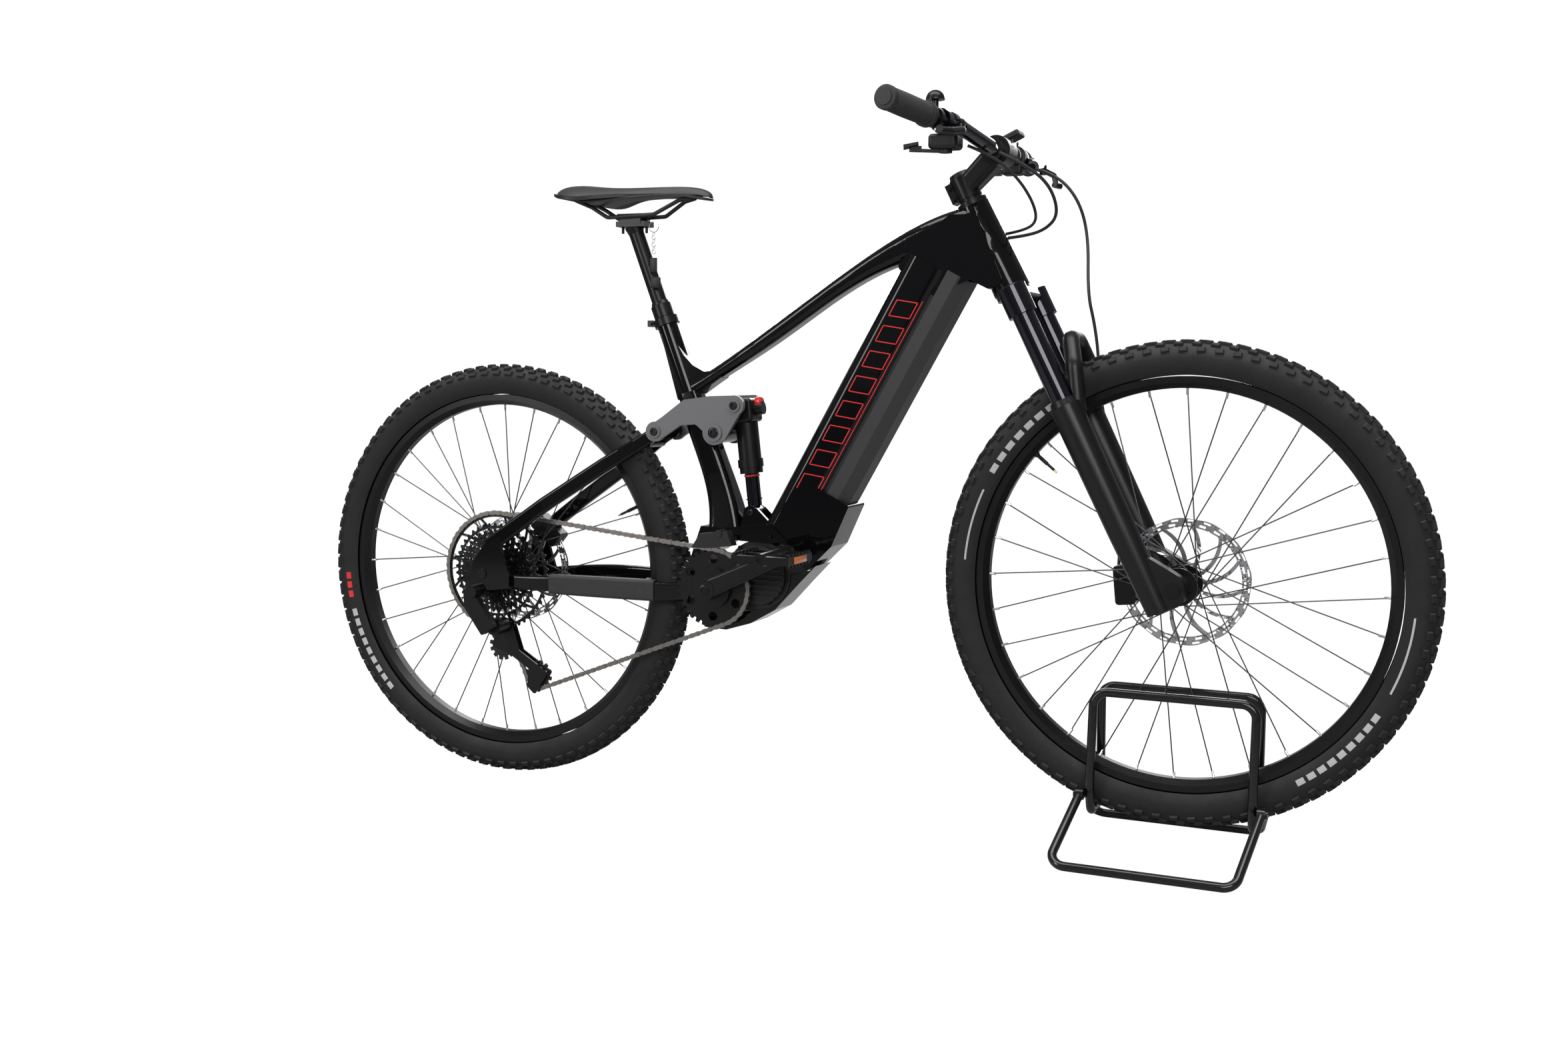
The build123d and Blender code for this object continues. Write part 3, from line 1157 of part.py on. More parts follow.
def stand_foot(side):
    """One foot loop: a floor bar with two legs that rise to the bolts."""
    radius = STAND_ROD / 2
    half = STAND_HALF_LENGTH + STAND_ROD + GAP
    pivot = stand_pivot(side)
    y_foot = side * STAND_FOOT_HALF_SPREAD
    points = [Vector(pivot.X - half, pivot.Y, pivot.Z),
              Vector(pivot.X - half + STAND_FOOT_SHIFT, y_foot, radius),
              Vector(pivot.X + half + STAND_FOOT_SHIFT, y_foot, radius),
              Vector(pivot.X + half, pivot.Y, pivot.Z)]
    loop = bent_rod(points, radius, 22)
    for x in (-half, half):
        inward = -1 if x > 0 else 1
        eye = rod(pivot + Vector(x - 5 * inward, 0, 0), pivot + Vector(x + 6.5 * inward, 0, 0), 9)
        bolt = rod(pivot + Vector(x - 9 * inward, 0, 0), pivot + Vector(x - 4 * inward, 0, 0), 6)
        loop += eye + bolt
    return loop


# ---------------------------------------------------------------- hoses and cables
def front_brake_hose():
    start = bar_point(112) + Vector(40, 0, -24)
    points = [start, start + Vector(38, -16, -12), start + Vector(74, -10, -52), start + Vector(86, 14, -108),
              head(474, 92, 66), head(430, 80, 80), head(384, 64, 88), head(330, 40, 93), head(262, 22, 95),
              head(196, 8, 94), head(134, -12, 90), head(84, -34, 78), head(52, -48, 63)]
    return cord("front_brake_hose", points, 5.0)


def rear_brake_hose():
    start = bar_point(-110) + Vector(40, 0, -26)
    points = [start, start + Vector(34, 18, -16), start + Vector(66, 50, -44), start + Vector(70, 96, -84),
              start + Vector(40, 132, -104), start + Vector(0, 146, -112), start + Vector(-38, 140, -116)]
    return cord("rear_brake_hose", points, 5.0)


def shift_cable():
    start = bar_point(-166) + Vector(18, 0, -28)
    points = [start, start + Vector(30, 26, -12), start + Vector(58, 66, -40), start + Vector(72, 112, -74),
              start + Vector(66, 158, -98), start + Vector(36, 190, -108), start + Vector(0, 200, -112)]
    return cord("shift_cable", points, 4.5)


# ---------------------------------------------------------------- writing the parts
def make_frame():
    save("main_frame", main_frame())
    save("frame_fittings", Compound(children=headset() + [seat_clamp()]))
    save("dropper_outer", dropper_outer())
    save("battery_pack", battery_pack())
    save("battery_cover", battery_cover())
    save("motor_unit", motor_unit())
    save("motor_covers", motor_covers())
    save("chain_guide", chain_guide())
    save("dropper_inner", dropper_inner())
    save("saddle_base", saddle_base())
    save("saddle_pad", saddle_pad())


def make_suspension():
    save("chainstays", chainstays())
    save("chainstay_guard", chainstay_guard())
    save("seatstays", seatstays())
    save("rear_axle", rear_axle())
    save("rear_caliper", rear_caliper())
    save("rocker_links", rocker_links())
    save("shock_can", shock_can())
    save("shock_shaft", shock_shaft())


def make_drivetrain():
    save("cassette", cassette())
    save("chainring", chainring())
    save("crank_arms", crank_arms())
    save("pedal_right", pedal(-1))
    save("pedal_left", pedal(1))
    save("derailleur_body", derailleur_body())
    save("derailleur_cage", derailleur_cage())
    save("upper_jockey", jockey(GUIDE_WHEEL))
    save("lower_jockey", jockey(TENSION_WHEEL))
    save("chain", chain())


def make_fork_and_cockpit():
    save("fork_upper", fork_upper())
    save("fork_lowers", fork_lowers())
    save("front_axle", front_axle())
    save("front_caliper", front_caliper())
    save("stem", stem())
    save("handlebar", handlebar())
    save("grips", Compound(children=mirrored_pair(grip)))
    save("brake_masters", brake_masters())
    save("brake_lever_right", brake_lever(-1))
    save("brake_lever_left", brake_lever(1))
    save("shifter_body", shifter_body())
    save("shift_paddle", shift_paddle())
    save("left_controls", left_controls())
    save("seat_remote_lever", seat_remote_lever())
    save("bell", bell())
    save("front_brake_hose", front_brake_hose())
    save("rear_brake_hose", rear_brake_hose())
    save("shift_cable", shift_cable())


def make_stand():
    save("stand_cradle", stand_cradle())
    save("stand_foot_right", stand_foot(-1))
    save("stand_foot_left", stand_foot(1))


os.makedirs("parts", exist_ok=True)
make_wheels()
make_frame()
make_suspension()
make_drivetrain()
make_fork_and_cockpit()
make_stand()
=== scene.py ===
# %% [markdown]
# # A full-suspension electric mountain bicycle in a floor stand
# Every piece below is placed from the same numbers, in metres, with +X forward, +Y to the
# rider's left and +Z up.

# %% Load the model
import json
from math import asin, atan2, cos, degrees, pi, radians, sin, sqrt
import bpy
import bmesh
from mathutils import Matrix, Vector


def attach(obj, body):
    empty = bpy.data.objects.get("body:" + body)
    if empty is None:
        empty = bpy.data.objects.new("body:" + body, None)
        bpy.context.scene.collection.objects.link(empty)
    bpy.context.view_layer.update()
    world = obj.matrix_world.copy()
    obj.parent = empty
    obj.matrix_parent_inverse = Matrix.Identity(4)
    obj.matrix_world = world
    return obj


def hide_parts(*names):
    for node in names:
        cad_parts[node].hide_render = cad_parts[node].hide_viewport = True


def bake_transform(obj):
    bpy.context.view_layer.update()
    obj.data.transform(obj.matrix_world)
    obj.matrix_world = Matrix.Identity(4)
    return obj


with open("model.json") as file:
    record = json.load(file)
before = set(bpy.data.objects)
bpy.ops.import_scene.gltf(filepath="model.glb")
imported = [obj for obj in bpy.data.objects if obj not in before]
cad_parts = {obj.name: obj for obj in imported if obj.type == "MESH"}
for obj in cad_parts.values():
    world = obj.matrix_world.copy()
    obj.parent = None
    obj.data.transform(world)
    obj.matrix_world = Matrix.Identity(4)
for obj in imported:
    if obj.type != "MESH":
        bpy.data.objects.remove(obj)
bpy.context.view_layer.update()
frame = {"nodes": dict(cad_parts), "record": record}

nodes = frame["nodes"]

# %% [markdown]
# ## Camera
# The camera stands to the right of the front wheel and looks back along the bicycle, a little
# downwards. Its place and angles come from one fit of the wheels' known size.

# %% Camera
CAMERA_PLACE = Vector((0.9798, -2.425, 0.7394))
YAW, PITCH, ROLL = radians(23.11), radians(5.53), radians(0.62)
look = Vector((-sin(YAW) * cos(PITCH), cos(YAW) * cos(PITCH), -sin(PITCH)))
level = look.cross(Vector((0, 0, 1))).normalized()
upright = level.cross(look)
right = level * cos(ROLL) + upright * sin(ROLL)
top = upright * cos(ROLL) - level * sin(ROLL)
lens_data = bpy.data.cameras.new("camera")
lens_data.sensor_width = 36.0
lens_data.lens = 36.09
lens_data.clip_start = 0.05
camera = bpy.data.objects.new("camera", lens_data)
camera.matrix_world = Matrix((
    (right.x, top.x, -look.x, CAMERA_PLACE.x),
    (right.y, top.y, -look.y, CAMERA_PLACE.y),
    (right.z, top.z, -look.z, CAMERA_PLACE.z),
    (0, 0, 0, 1)))
bpy.context.scene.collection.objects.link(camera)
bpy.context.scene.camera = camera
print("lens", lens_data.lens)

# %% [markdown]
# ## Studio
# Gloss black shows only what it reflects, so the room matters more than the paint. Long soft
# panels give the tubes their white streaks, and the rest of the room is dimmer to reflections
# than it looks to the camera, which keeps the black black.

# %% Studio
def studio_world():
    world = bpy.data.worlds.new("studio")
    bpy.context.scene.world = world
    world.use_nodes = True
    tree = world.node_tree
    tree.nodes.clear()
    out = tree.nodes.new("ShaderNodeOutputWorld")
    seen = tree.nodes.new("ShaderNodeBackground")
    felt = tree.nodes.new("ShaderNodeBackground")
    seen.inputs["Color"].default_value = (1, 1, 1, 1)
    seen.inputs["Strength"].default_value = 1.05
    felt.inputs["Color"].default_value = (0.95, 0.97, 1, 1)
    felt.inputs["Strength"].default_value = 0.24
    path = tree.nodes.new("ShaderNodeLightPath")
    mix = tree.nodes.new("ShaderNodeMixShader")
    tree.links.new(path.outputs["Is Camera Ray"], mix.inputs[0])
    tree.links.new(felt.outputs[0], mix.inputs[1])
    tree.links.new(seen.outputs[0], mix.inputs[2])
    tree.links.new(mix.outputs[0], out.inputs[0])


def soft_panel(name, place, target, size_x, size_y, power):
    light = bpy.data.lights.new(name, "AREA")
    light.shape = "RECTANGLE"
    light.size, light.size_y = size_x, size_y
    light.energy = power
    holder = bpy.data.objects.new(name, light)
    holder.location = place
    holder.rotation_euler = (Vector(target) - Vector(place)).to_track_quat("-Z", "Y").to_euler()
    bpy.context.scene.collection.objects.link(holder)


studio_world()
soft_panel("panel_above", (0.1, -0.6, 3.0), (0, 0, 0.4), 3.2, 1.2, 70)
soft_panel("panel_right", (1.6, -3.2, 1.9), (0.1, 0, 0.6), 2.2, 1.0, 60)
soft_panel("panel_left_front", (-2.0, -2.6, 1.6), (-0.3, 0, 0.6), 0.7, 2.0, 36)
soft_panel("panel_behind", (-0.6, 3.0, 1.8), (0, 0, 0.6), 3.0, 1.2, 60)
bpy.context.scene.view_settings.view_transform = "Standard"
print("panels", 4)

# %% [markdown]
# ## Shared surface effects
# Three effects turn up in almost every finish, so each is a node group that is built once:
# a fine grain that breaks up the gloss, a thin film of dust, and long light scuffs.

# %% Node groups
def new_group(name, inputs, outputs):
    tree = bpy.data.node_groups.new(name, "ShaderNodeTree")
    for label, kind, value in inputs:
        socket = tree.interface.new_socket(label, in_out="INPUT", socket_type=kind)
        socket.default_value = value
    for label, kind in outputs:
        tree.interface.new_socket(label, in_out="OUTPUT", socket_type=kind)
    return tree, tree.nodes.new("NodeGroupInput"), tree.nodes.new("NodeGroupOutput")


def math_node(tree, operation, first, second):
    node = tree.nodes.new("ShaderNodeMath")
    node.operation = operation
    for index, value in enumerate((first, second)):
        if isinstance(value, (int, float)):
            node.inputs[index].default_value = value
        else:
            tree.links.new(value, node.inputs[index])
    return node.outputs[0]


def noise_node(tree, scale, detail=4.0, roughness=0.55):
    place = tree.nodes.new("ShaderNodeTexCoord")
    noise = tree.nodes.new("ShaderNodeTexNoise")
    noise.inputs["Detail"].default_value = detail
    noise.inputs["Roughness"].default_value = roughness
    tree.links.new(place.outputs["Object"], noise.inputs["Vector"])
    if isinstance(scale, (int, float)):
        noise.inputs["Scale"].default_value = scale
    else:
        tree.links.new(scale, noise.inputs["Scale"])
    return noise


def build_grain():
    tree, given, made = new_group("grain", [("Scale", "NodeSocketFloat", 900.0),
                                            ("Roughness", "NodeSocketFloat", 0.4),
                                            ("Variation", "NodeSocketFloat", 0.15)],
                                  [("Roughness", "NodeSocketFloat"), ("Height", "NodeSocketFloat")])
    fine = noise_node(tree, given.outputs["Scale"])
    broad = noise_node(tree, 14.0, 3.0)
    both = math_node(tree, "ADD", fine.outputs[0], broad.outputs[0])
    swing = math_node(tree, "MULTIPLY", math_node(tree, "SUBTRACT", both, 1.0), given.outputs["Variation"])
    tree.links.new(math_node(tree, "ADD", swing, given.outputs["Roughness"]), made.inputs["Roughness"])
    tree.links.new(fine.outputs[0], made.inputs["Height"])
    return tree


def build_dust():
    tree, given, made = new_group("dust", [("Color", "NodeSocketColor", (0.1, 0.1, 0.1, 1)),
                                           ("Dust", "NodeSocketColor", (0.35, 0.33, 0.3, 1)),
                                           ("Amount", "NodeSocketFloat", 0.1)],
                                  [("Color", "NodeSocketColor"), ("Mask", "NodeSocketFloat")])
    cloud = noise_node(tree, 26.0, 6.0, 0.65)
    facing = tree.nodes.new("ShaderNodeNewGeometry")
    split = tree.nodes.new("ShaderNodeSeparateXYZ")
    tree.links.new(facing.outputs["Normal"], split.inputs[0])
    upward = math_node(tree, "MAXIMUM", split.outputs["Z"], 0.15)
    mask = math_node(tree, "MULTIPLY", math_node(tree, "MULTIPLY", cloud.outputs[0], upward),
                     given.outputs["Amount"])
    mix = tree.nodes.new("ShaderNodeMix")
    mix.data_type = "RGBA"
    tree.links.new(mask, mix.inputs[0])
    tree.links.new(given.outputs["Color"], mix.inputs[6])
    tree.links.new(given.outputs["Dust"], mix.inputs[7])
    tree.links.new(mix.outputs[2], made.inputs["Color"])
    tree.links.new(mask, made.inputs["Mask"])
    return tree


def build_scuffs():
    tree, given, made = new_group("scuffs", [("Scale", "NodeSocketFloat", 60.0),
                                             ("Amount", "NodeSocketFloat", 0.3)],
                                  [("Mask", "NodeSocketFloat")])
    place = tree.nodes.new("ShaderNodeTexCoord")
    stretch = tree.nodes.new("ShaderNodeMapping")
    stretch.inputs["Rotation"].default_value = (0.0, 0.6, 0.35)
    stretch.inputs["Scale"].default_value = (1.0, 1.0, 9.0)
    tree.links.new(place.outputs["Object"], stretch.inputs[0])
    lines = tree.nodes.new("ShaderNodeTexNoise")
    lines.inputs["Detail"].default_value = 5.0
    tree.links.new(stretch.outputs[0], lines.inputs["Vector"])
    tree.links.new(given.outputs["Scale"], lines.inputs["Scale"])
    sharp = tree.nodes.new("ShaderNodeMapRange")
    sharp.inputs["From Min"].default_value = 0.66
    sharp.inputs["From Max"].default_value = 0.78
    tree.links.new(lines.outputs[0], sharp.inputs[0])
    mask = math_node(tree, "MULTIPLY", sharp.outputs[0], given.outputs["Amount"])
    tree.links.new(mask, made.inputs["Mask"])
    return tree


GROUPS = {"grain": build_grain(), "dust": build_dust(), "scuffs": build_scuffs()}
print("groups", sorted(GROUPS))

# %% [markdown]
# ## Finishes
# Each finish is one Principled shader with those effects plugged in. What differs is colour,
# gloss, how metallic it is, how deep its grain goes, and how much clear coat lies over it.

# %% Finish maker
def use_group(tree, name, **values):
    node = tree.nodes.new("ShaderNodeGroup")
    node.node_tree = GROUPS[name]
    for label, value in values.items():
        node.inputs[label].default_value = value
    return node


def finish_of(name, color, rough, metal=0.0, coat=0.0, coat_rough=0.03, coat_ior=1.5, specular=0.5,
              grain=900.0, variation=0.12, bump=0.1, bump_mm=0.05, dust=0.08, scuff=0.15,
              scuff_color=(0.25, 0.25, 0.25)):
    finish = bpy.data.materials.new(name)
    finish.use_nodes = True
    tree = finish.node_tree
    shader = tree.nodes["Principled BSDF"]
    shader.inputs["Metallic"].default_value = metal
    shader.inputs["Coat Weight"].default_value = coat
    shader.inputs["Coat Roughness"].default_value = coat_rough
    shader.inputs["Coat IOR"].default_value = coat_ior
    shader.inputs["Specular IOR Level"].default_value = specular
    speckle = use_group(tree, "grain", Scale=grain, Roughness=rough, Variation=variation)
    film = use_group(tree, "dust", Color=(*color, 1), Amount=dust)
    marks = use_group(tree, "scuffs", Amount=scuff)
    worn = tree.nodes.new("ShaderNodeMix")
    worn.data_type = "RGBA"
    worn.inputs[7].default_value = (*scuff_color, 1)
    tree.links.new(marks.outputs["Mask"], worn.inputs[0])
    tree.links.new(film.outputs["Color"], worn.inputs[6])
    tree.links.new(worn.outputs[2], shader.inputs["Base Color"])
    tree.links.new(speckle.outputs["Roughness"], shader.inputs["Roughness"])
    relief = tree.nodes.new("ShaderNodeBump")
    relief.inputs["Strength"].default_value = bump
    relief.inputs["Distance"].default_value = bump_mm / 1000
    tree.links.new(speckle.outputs["Height"], relief.inputs["Height"])
    tree.links.new(relief.outputs[0], shader.inputs["Normal"])
    return finish


FINISH = {
    "frame_paint": finish_of("gloss_black_paint", (0.0015, 0.0015, 0.002), 0.14, coat=1.0, coat_ior=1.32,
                             specular=0.05, grain=2600, bump=0.02, variation=0.05, dust=0.012, scuff=0.01),
    "cover_plastic": finish_of("matte_cover", (0.022, 0.022, 0.024), 0.5, grain=2400, bump=0.35, scuff=0.12),
    "link_grey": finish_of("grey_link_paint", (0.105, 0.103, 0.108), 0.42, grain=3000, bump=0.12,
                           variation=0.08),
    "black_metal": finish_of("satin_black_metal", (0.006, 0.006, 0.007), 0.3, metal=0.3, grain=3200,
                             bump=0.1, dust=0.03, scuff=0.06, specular=0.35),
    "matte_black": finish_of("moulded_black", (0.008, 0.008, 0.009), 0.46, grain=1800, bump=0.3, dust=0.04,
                             scuff=0.06, specular=0.35),
    "motor_grey": finish_of("cast_black", (0.007, 0.007, 0.008), 0.44, metal=0.2, grain=1100, bump=0.5,
                            dust=0.04, scuff=0.06, specular=0.35),
    "tyre_rubber": finish_of("tyre_rubber", (0.013, 0.013, 0.014), 0.78, grain=700, bump=0.5, bump_mm=0.12,
                             dust=0.2, scuff=0.08, variation=0.2, specular=0.2),
    "soft_rubber": finish_of("soft_rubber", (0.013, 0.013, 0.014), 0.62, grain=1500, bump=0.35, dust=0.1),
    "steel": finish_of("chain_steel", (0.23, 0.215, 0.2), 0.36, metal=1.0, grain=1800, bump=0.2,
                       scuff=0.5, scuff_color=(0.1, 0.09, 0.08)),
    "rotor_steel": finish_of("rotor_steel", (0.5, 0.5, 0.51), 0.3, metal=1.0, grain=1400, bump=0.2,
                             scuff=0.35),
    "cassette_black": finish_of("cassette_black", (0.02, 0.02, 0.021), 0.3, metal=0.8, grain=1400, bump=0.2,
                                scuff=0.5, scuff_color=(0.4, 0.39, 0.38)),
    "spoke_steel": finish_of("spoke_steel", (0.09, 0.09, 0.095), 0.28, metal=0.9, grain=3000, bump=0.05),
    "stanchion": finish_of("stanchion_black", (0.004, 0.004, 0.008), 0.1, metal=0.4, coat=0.6, grain=5000,
                           bump=0.02, variation=0.03, dust=0.02, scuff=0.02, specular=0.3, coat_ior=1.4),
    "fork_paint": finish_of("fork_satin_black", (0.005, 0.005, 0.006), 0.34, grain=2600, bump=0.1, dust=0.03,
                            scuff=0.04, specular=0.3),
    "cover_skin": finish_of("saddle_cover", (0.014, 0.014, 0.015), 0.52, grain=1300, bump=0.6, bump_mm=0.1),
    "stand_paint": finish_of("stand_powder_coat", (0.003, 0.003, 0.004), 0.22, coat=0.4, coat_rough=0.12,
                             grain=420, bump=0.3, bump_mm=0.1, dust=0.03, scuff=0.05, specular=0.3),
    "silver": finish_of("silver_alloy", (0.55, 0.55, 0.56), 0.28, metal=1.0, grain=2600, bump=0.1),
    "pack_case": finish_of("pack_case", (0.01, 0.01, 0.011), 0.3, grain=2200, bump=0.2),
    "red_trim": finish_of("red_print", (0.62, 0.02, 0.02), 0.3, coat=0.5, grain=2600, bump=0.02, dust=0.02),
    "amber": finish_of("amber_reflector", (0.65, 0.16, 0.03), 0.2, coat=0.7, grain=600, bump=0.4),
    "pale_print": finish_of("pale_print", (0.42, 0.42, 0.42), 0.6, grain=900, bump=0.2, dust=0.2),
    "brass": finish_of("brass_tip", (0.55, 0.4, 0.15), 0.3, metal=1.0),
}
print("finishes", len(FINISH))

# %% [markdown]
# ## Finishes on the engineering parts
# A part whose shape is already right keeps its own mesh and only gets its finish, by the
# material slot that the record names for it.

# %% Give the CAD nodes their finishes
slot_of = {row["node"]: row.get("material_slot", row["node"]) for row in frame["record"]["subparts"]}
OWN_FINISH = {"bell": "black_metal", "brake_masters": "stanchion", "brake_lever_left": "black_metal",
              "brake_lever_right": "black_metal", "shift_paddle": "matte_black"}
for name, part in nodes.items():
    key = OWN_FINISH.get(name, slot_of.get(name, "matte_black"))
    part.data.materials.clear()
    part.data.materials.append(FINISH.get(key, FINISH["matte_black"]))
print("painted", len(nodes))

# %% [markdown]
# ## Places on the bicycle
# The same few points place every small piece: axles, pivots, and the fork's own tilted line.

# %% Shared places
X_REAR = -0.6044


def at(x, z, y=0.0):
    """Millimetres ahead of the rear axle, above the floor and to the left, as a point in metres."""
    return Vector((X_REAR + x / 1000, y / 1000, z / 1000))


HEAD_ANGLE = radians(63.6)
HEAD_UP = Vector((-cos(HEAD_ANGLE), 0, sin(HEAD_ANGLE)))
HEAD_FORWARD = Vector((sin(HEAD_ANGLE), 0, cos(HEAD_ANGLE)))
REAR_AXLE, FRONT_AXLE = at(0, 373), at(1208.8, 420)
CRANK, MAIN_PIVOT, STAY_PIVOT = at(443, 373), at(393, 366), at(41, 362)
ROCKER_REAR, ROCKER_PIVOT, ROCKER_SHOCK, SHOCK_FOOT = at(326, 633), at(438, 634), at(475, 680), at(497, 500)
HEAD_FOOT = FRONT_AXLE - HEAD_FORWARD * 0.047
LEFT = Vector((0, 1, 0))


def head(along, ahead=0.0, y=0.0):
    return HEAD_FOOT + HEAD_UP * (along / 1000) + HEAD_FORWARD * (ahead / 1000) + LEFT * (y / 1000)


def bar_point(y):
    """The handlebar's centre line at a distance y to the left, in millimetres."""
    reach = abs(y)
    if reach <= 60:
        return at(908, 1082, y)
    if reach <= 130:
        share = (reach - 60) / 70
        return at(908 - 14 * share, 1082 + 14 * share, y)
    share = (reach - 130) / 260
    return at(894 - 40 * share, 1096 + 12 * share, y)


print("head line foot", [round(v, 4) for v in HEAD_FOOT])

# %% [markdown]
# ## Small builders
# Most added pieces are turned, bent or cut from sheet. A turned piece is an outline swept round
# an axis. A bent one is a round section carried along a NURBS line. One cut from sheet is a flat
# grid of cells, which are welded together and then given thickness by a Solidify modifier.

# %% Builders
def make_mesh(name, points, faces, finish, body, slot=None, smooth=True, angle=35):
    mesh = bpy.data.meshes.new(name)
    mesh.from_pydata([tuple(p) for p in points], [], faces)
    tidy = bmesh.new()
    tidy.from_mesh(mesh)
    bmesh.ops.recalc_face_normals(tidy, faces=tidy.faces)
    tidy.to_mesh(mesh)
    tidy.free()
    mesh.materials.append(FINISH[finish])
    piece = bpy.data.objects.new(name, mesh)
    bpy.context.scene.collection.objects.link(piece)
    if smooth:
        mesh.shade_smooth()
        mesh.set_sharp_from_angle(angle=radians(angle))
    if body:
        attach(piece, body)
    return piece


def axis_frame(axis):
    axis = Vector(axis).normalized()
    side = axis.cross(Vector((0, 0, 1)))
    if side.length < 0.1:
        side = axis.cross(Vector((1, 0, 0)))
    side.normalize()
    return axis, side, axis.cross(side)


def turned_points(origin, axis, profile, steps):
    """A closed solid of revolution: profile is (along, radius) in millimetres."""
    axis, side, other = axis_frame(axis)
    points, faces = [], []
    for along, radius in profile:
        for step in range(steps):
            angle = 2 * pi * step / steps
            spot = (side * cos(angle) + other * sin(angle)) * (radius / 1000)
            points.append(Vector(origin) + axis * (along / 1000) + spot)
    rings = len(profile)
    for ring in range(rings - 1):
        for step in range(steps):
            a, b = ring * steps + step, ring * steps + (step + 1) % steps
            faces.append((a, b, b + steps, a + steps))
    faces.append(tuple(range(steps)))
    faces.append(tuple((rings - 1) * steps + step for step in reversed(range(steps))))
    return points, faces


def merge(groups):
    """Several (points, faces) lists as one."""
    points, faces = [], []
    for some_points, some_faces in groups:
        start = len(points)
        points += some_points
        faces += [tuple(start + index for index in face) for face in some_faces]
    return points, faces


BOLT_STEPS = 24
WELD_GAP = 0.00005


def socket_bolt(origin, axis, radius, height=2.5):
    """A domed bolt head with a hexagonal socket sunk into it."""
    profile = [(0, radius), (height * 0.6, radius), (height, radius * 0.8), (height, radius * 0.5),
               (height * 0.25, radius * 0.48)]
    return turned_points(origin, axis, profile, BOLT_STEPS)


def line_points(name, route):
    """The points that a smooth NURBS line really follows when a route steers it."""
    curve = bpy.data.curves.new(name, "CURVE")
    curve.dimensions = "3D"
    spline = curve.splines.new("NURBS")
    spline.points.add(len(route) - 1)
    for place, point in zip(spline.points, route):
        place.co = (*point, 1.0)
    spline.order_u = 3
    spline.use_endpoint_u = True
    curve.resolution_u = 12
    bare = bpy.data.objects.new(name, curve)
    bpy.context.scene.collection.objects.link(bare)
    bpy.context.view_layer.update()
    mesh = bpy.data.meshes.new_from_object(bare)
    followed = [v.co.copy() for v in mesh.vertices]
    bpy.data.meshes.remove(mesh)
    bpy.data.objects.remove(bare)
    return followed


def tube_mesh(path, radius_mm, steps=12):
    """A round tube along followed points, closed at both ends."""
    points, faces = [], []
    normal = None
    for index, here in enumerate(path):
        ahead = path[min(index + 1, len(path) - 1)] - path[max(index - 1, 0)]
        ahead.normalize()
        if normal is None:
            normal = ahead.orthogonal().normalized()
        normal = (normal - ahead * normal.dot(ahead)).normalized()
        other = ahead.cross(normal)
        for step in range(steps):
            angle = 2 * pi * step / steps
            points.append(here + (normal * cos(angle) + other * sin(angle)) * (radius_mm / 1000))
    for ring in range(len(path) - 1):
        for step in range(steps):
            a, b = ring * steps + step, ring * steps + (step + 1) % steps
            faces.append((a, b, b + steps, a + steps))
    faces.append(tuple(reversed(range(steps))))
    faces.append(tuple((len(path) - 1) * steps + step for step in range(steps)))
    return points, faces


def weld_and_thicken(piece, thickness):
    """Join a flat grid's cells at their corners and give the sheet its thickness in metres."""
    weld = bmesh.new()
    weld.from_mesh(piece.data)
    bmesh.ops.remove_doubles(weld, verts=weld.verts, dist=WELD_GAP)
    weld.to_mesh(piece.data)
    weld.free()
    thick = piece.modifiers.new("thickness", "SOLIDIFY")
    thick.thickness = thickness
    thick.offset = 0


print("builders ready")

# %% [markdown]
# ## Hoses and the gear cable
# The hoses leave the levers, hang in loose bows in front of the head tube and go back into the
# frame or down the fork leg. Each is one smooth NURBS line.

# %% Hose routes
def offsets(start, *steps):
    return [start] + [start + Vector(step) / 1000 for step in steps]


front_route = offsets(bar_point(112) + Vector((0.040, 0, -0.024)),
                      (38, -16, -12), (74, -10, -52), (86, 14, -108))
front_route += [head(474, 92, 66), head(430, 80, 80), head(384, 64, 88), head(330, 40, 93), head(262, 22, 95),
                head(196, 8, 94), head(134, -12, 90), head(84, -34, 78), head(52, -48, 63)]
rear_route = offsets(bar_point(-110) + Vector((0.040, 0, -0.026)),
                     (34, 18, -16), (66, 50, -44), (70, 96, -84), (40, 132, -104), (0, 146, -112),
                     (-38, 140, -116))
gear_route = offsets(bar_point(-166) + Vector((0.018, 0, -0.028)),
                     (30, 26, -12), (58, 66, -40), (72, 112, -74), (66, 158, -98), (36, 190, -108),
                     (0, 200, -112))


def hose(name, route, radius, replaced):
    path = line_points(name + "_line", route)
    points, faces = tube_mesh(path, radius)
    piece = make_mesh(name, points, faces, "soft_rubber", None, "soft_rubber")
    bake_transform(piece)
    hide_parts(replaced)


hose("front_hose", front_route, 2.5, "front_brake_hose")
hose("rear_hose", rear_route, 2.5, "rear_brake_hose")
hose("gear_line", gear_route, 2.25, "shift_cable")

# %% [markdown]
# ## Tyres
# A mountain tyre is a smooth casing with rows of separate rubber blocks. The casing is turned
# from its section, and each block is a tapered brick that leans out along the casing.

# %% Tyres
# The casing's section: its centre's radius in the wheel, half its width, and how far it rises
# above that centre and drops below it. The blocks stand a little inside its surface.
CROWN_CENTRE, HALF_WIDTH, CROWN_RISE, SIDE_DROP = 342.0, 29.6, 25.2, 33.0
BLOCK_RISE, BLOCK_HALF = 25.0, 29.0
BEAD_RADIUS = 318.0


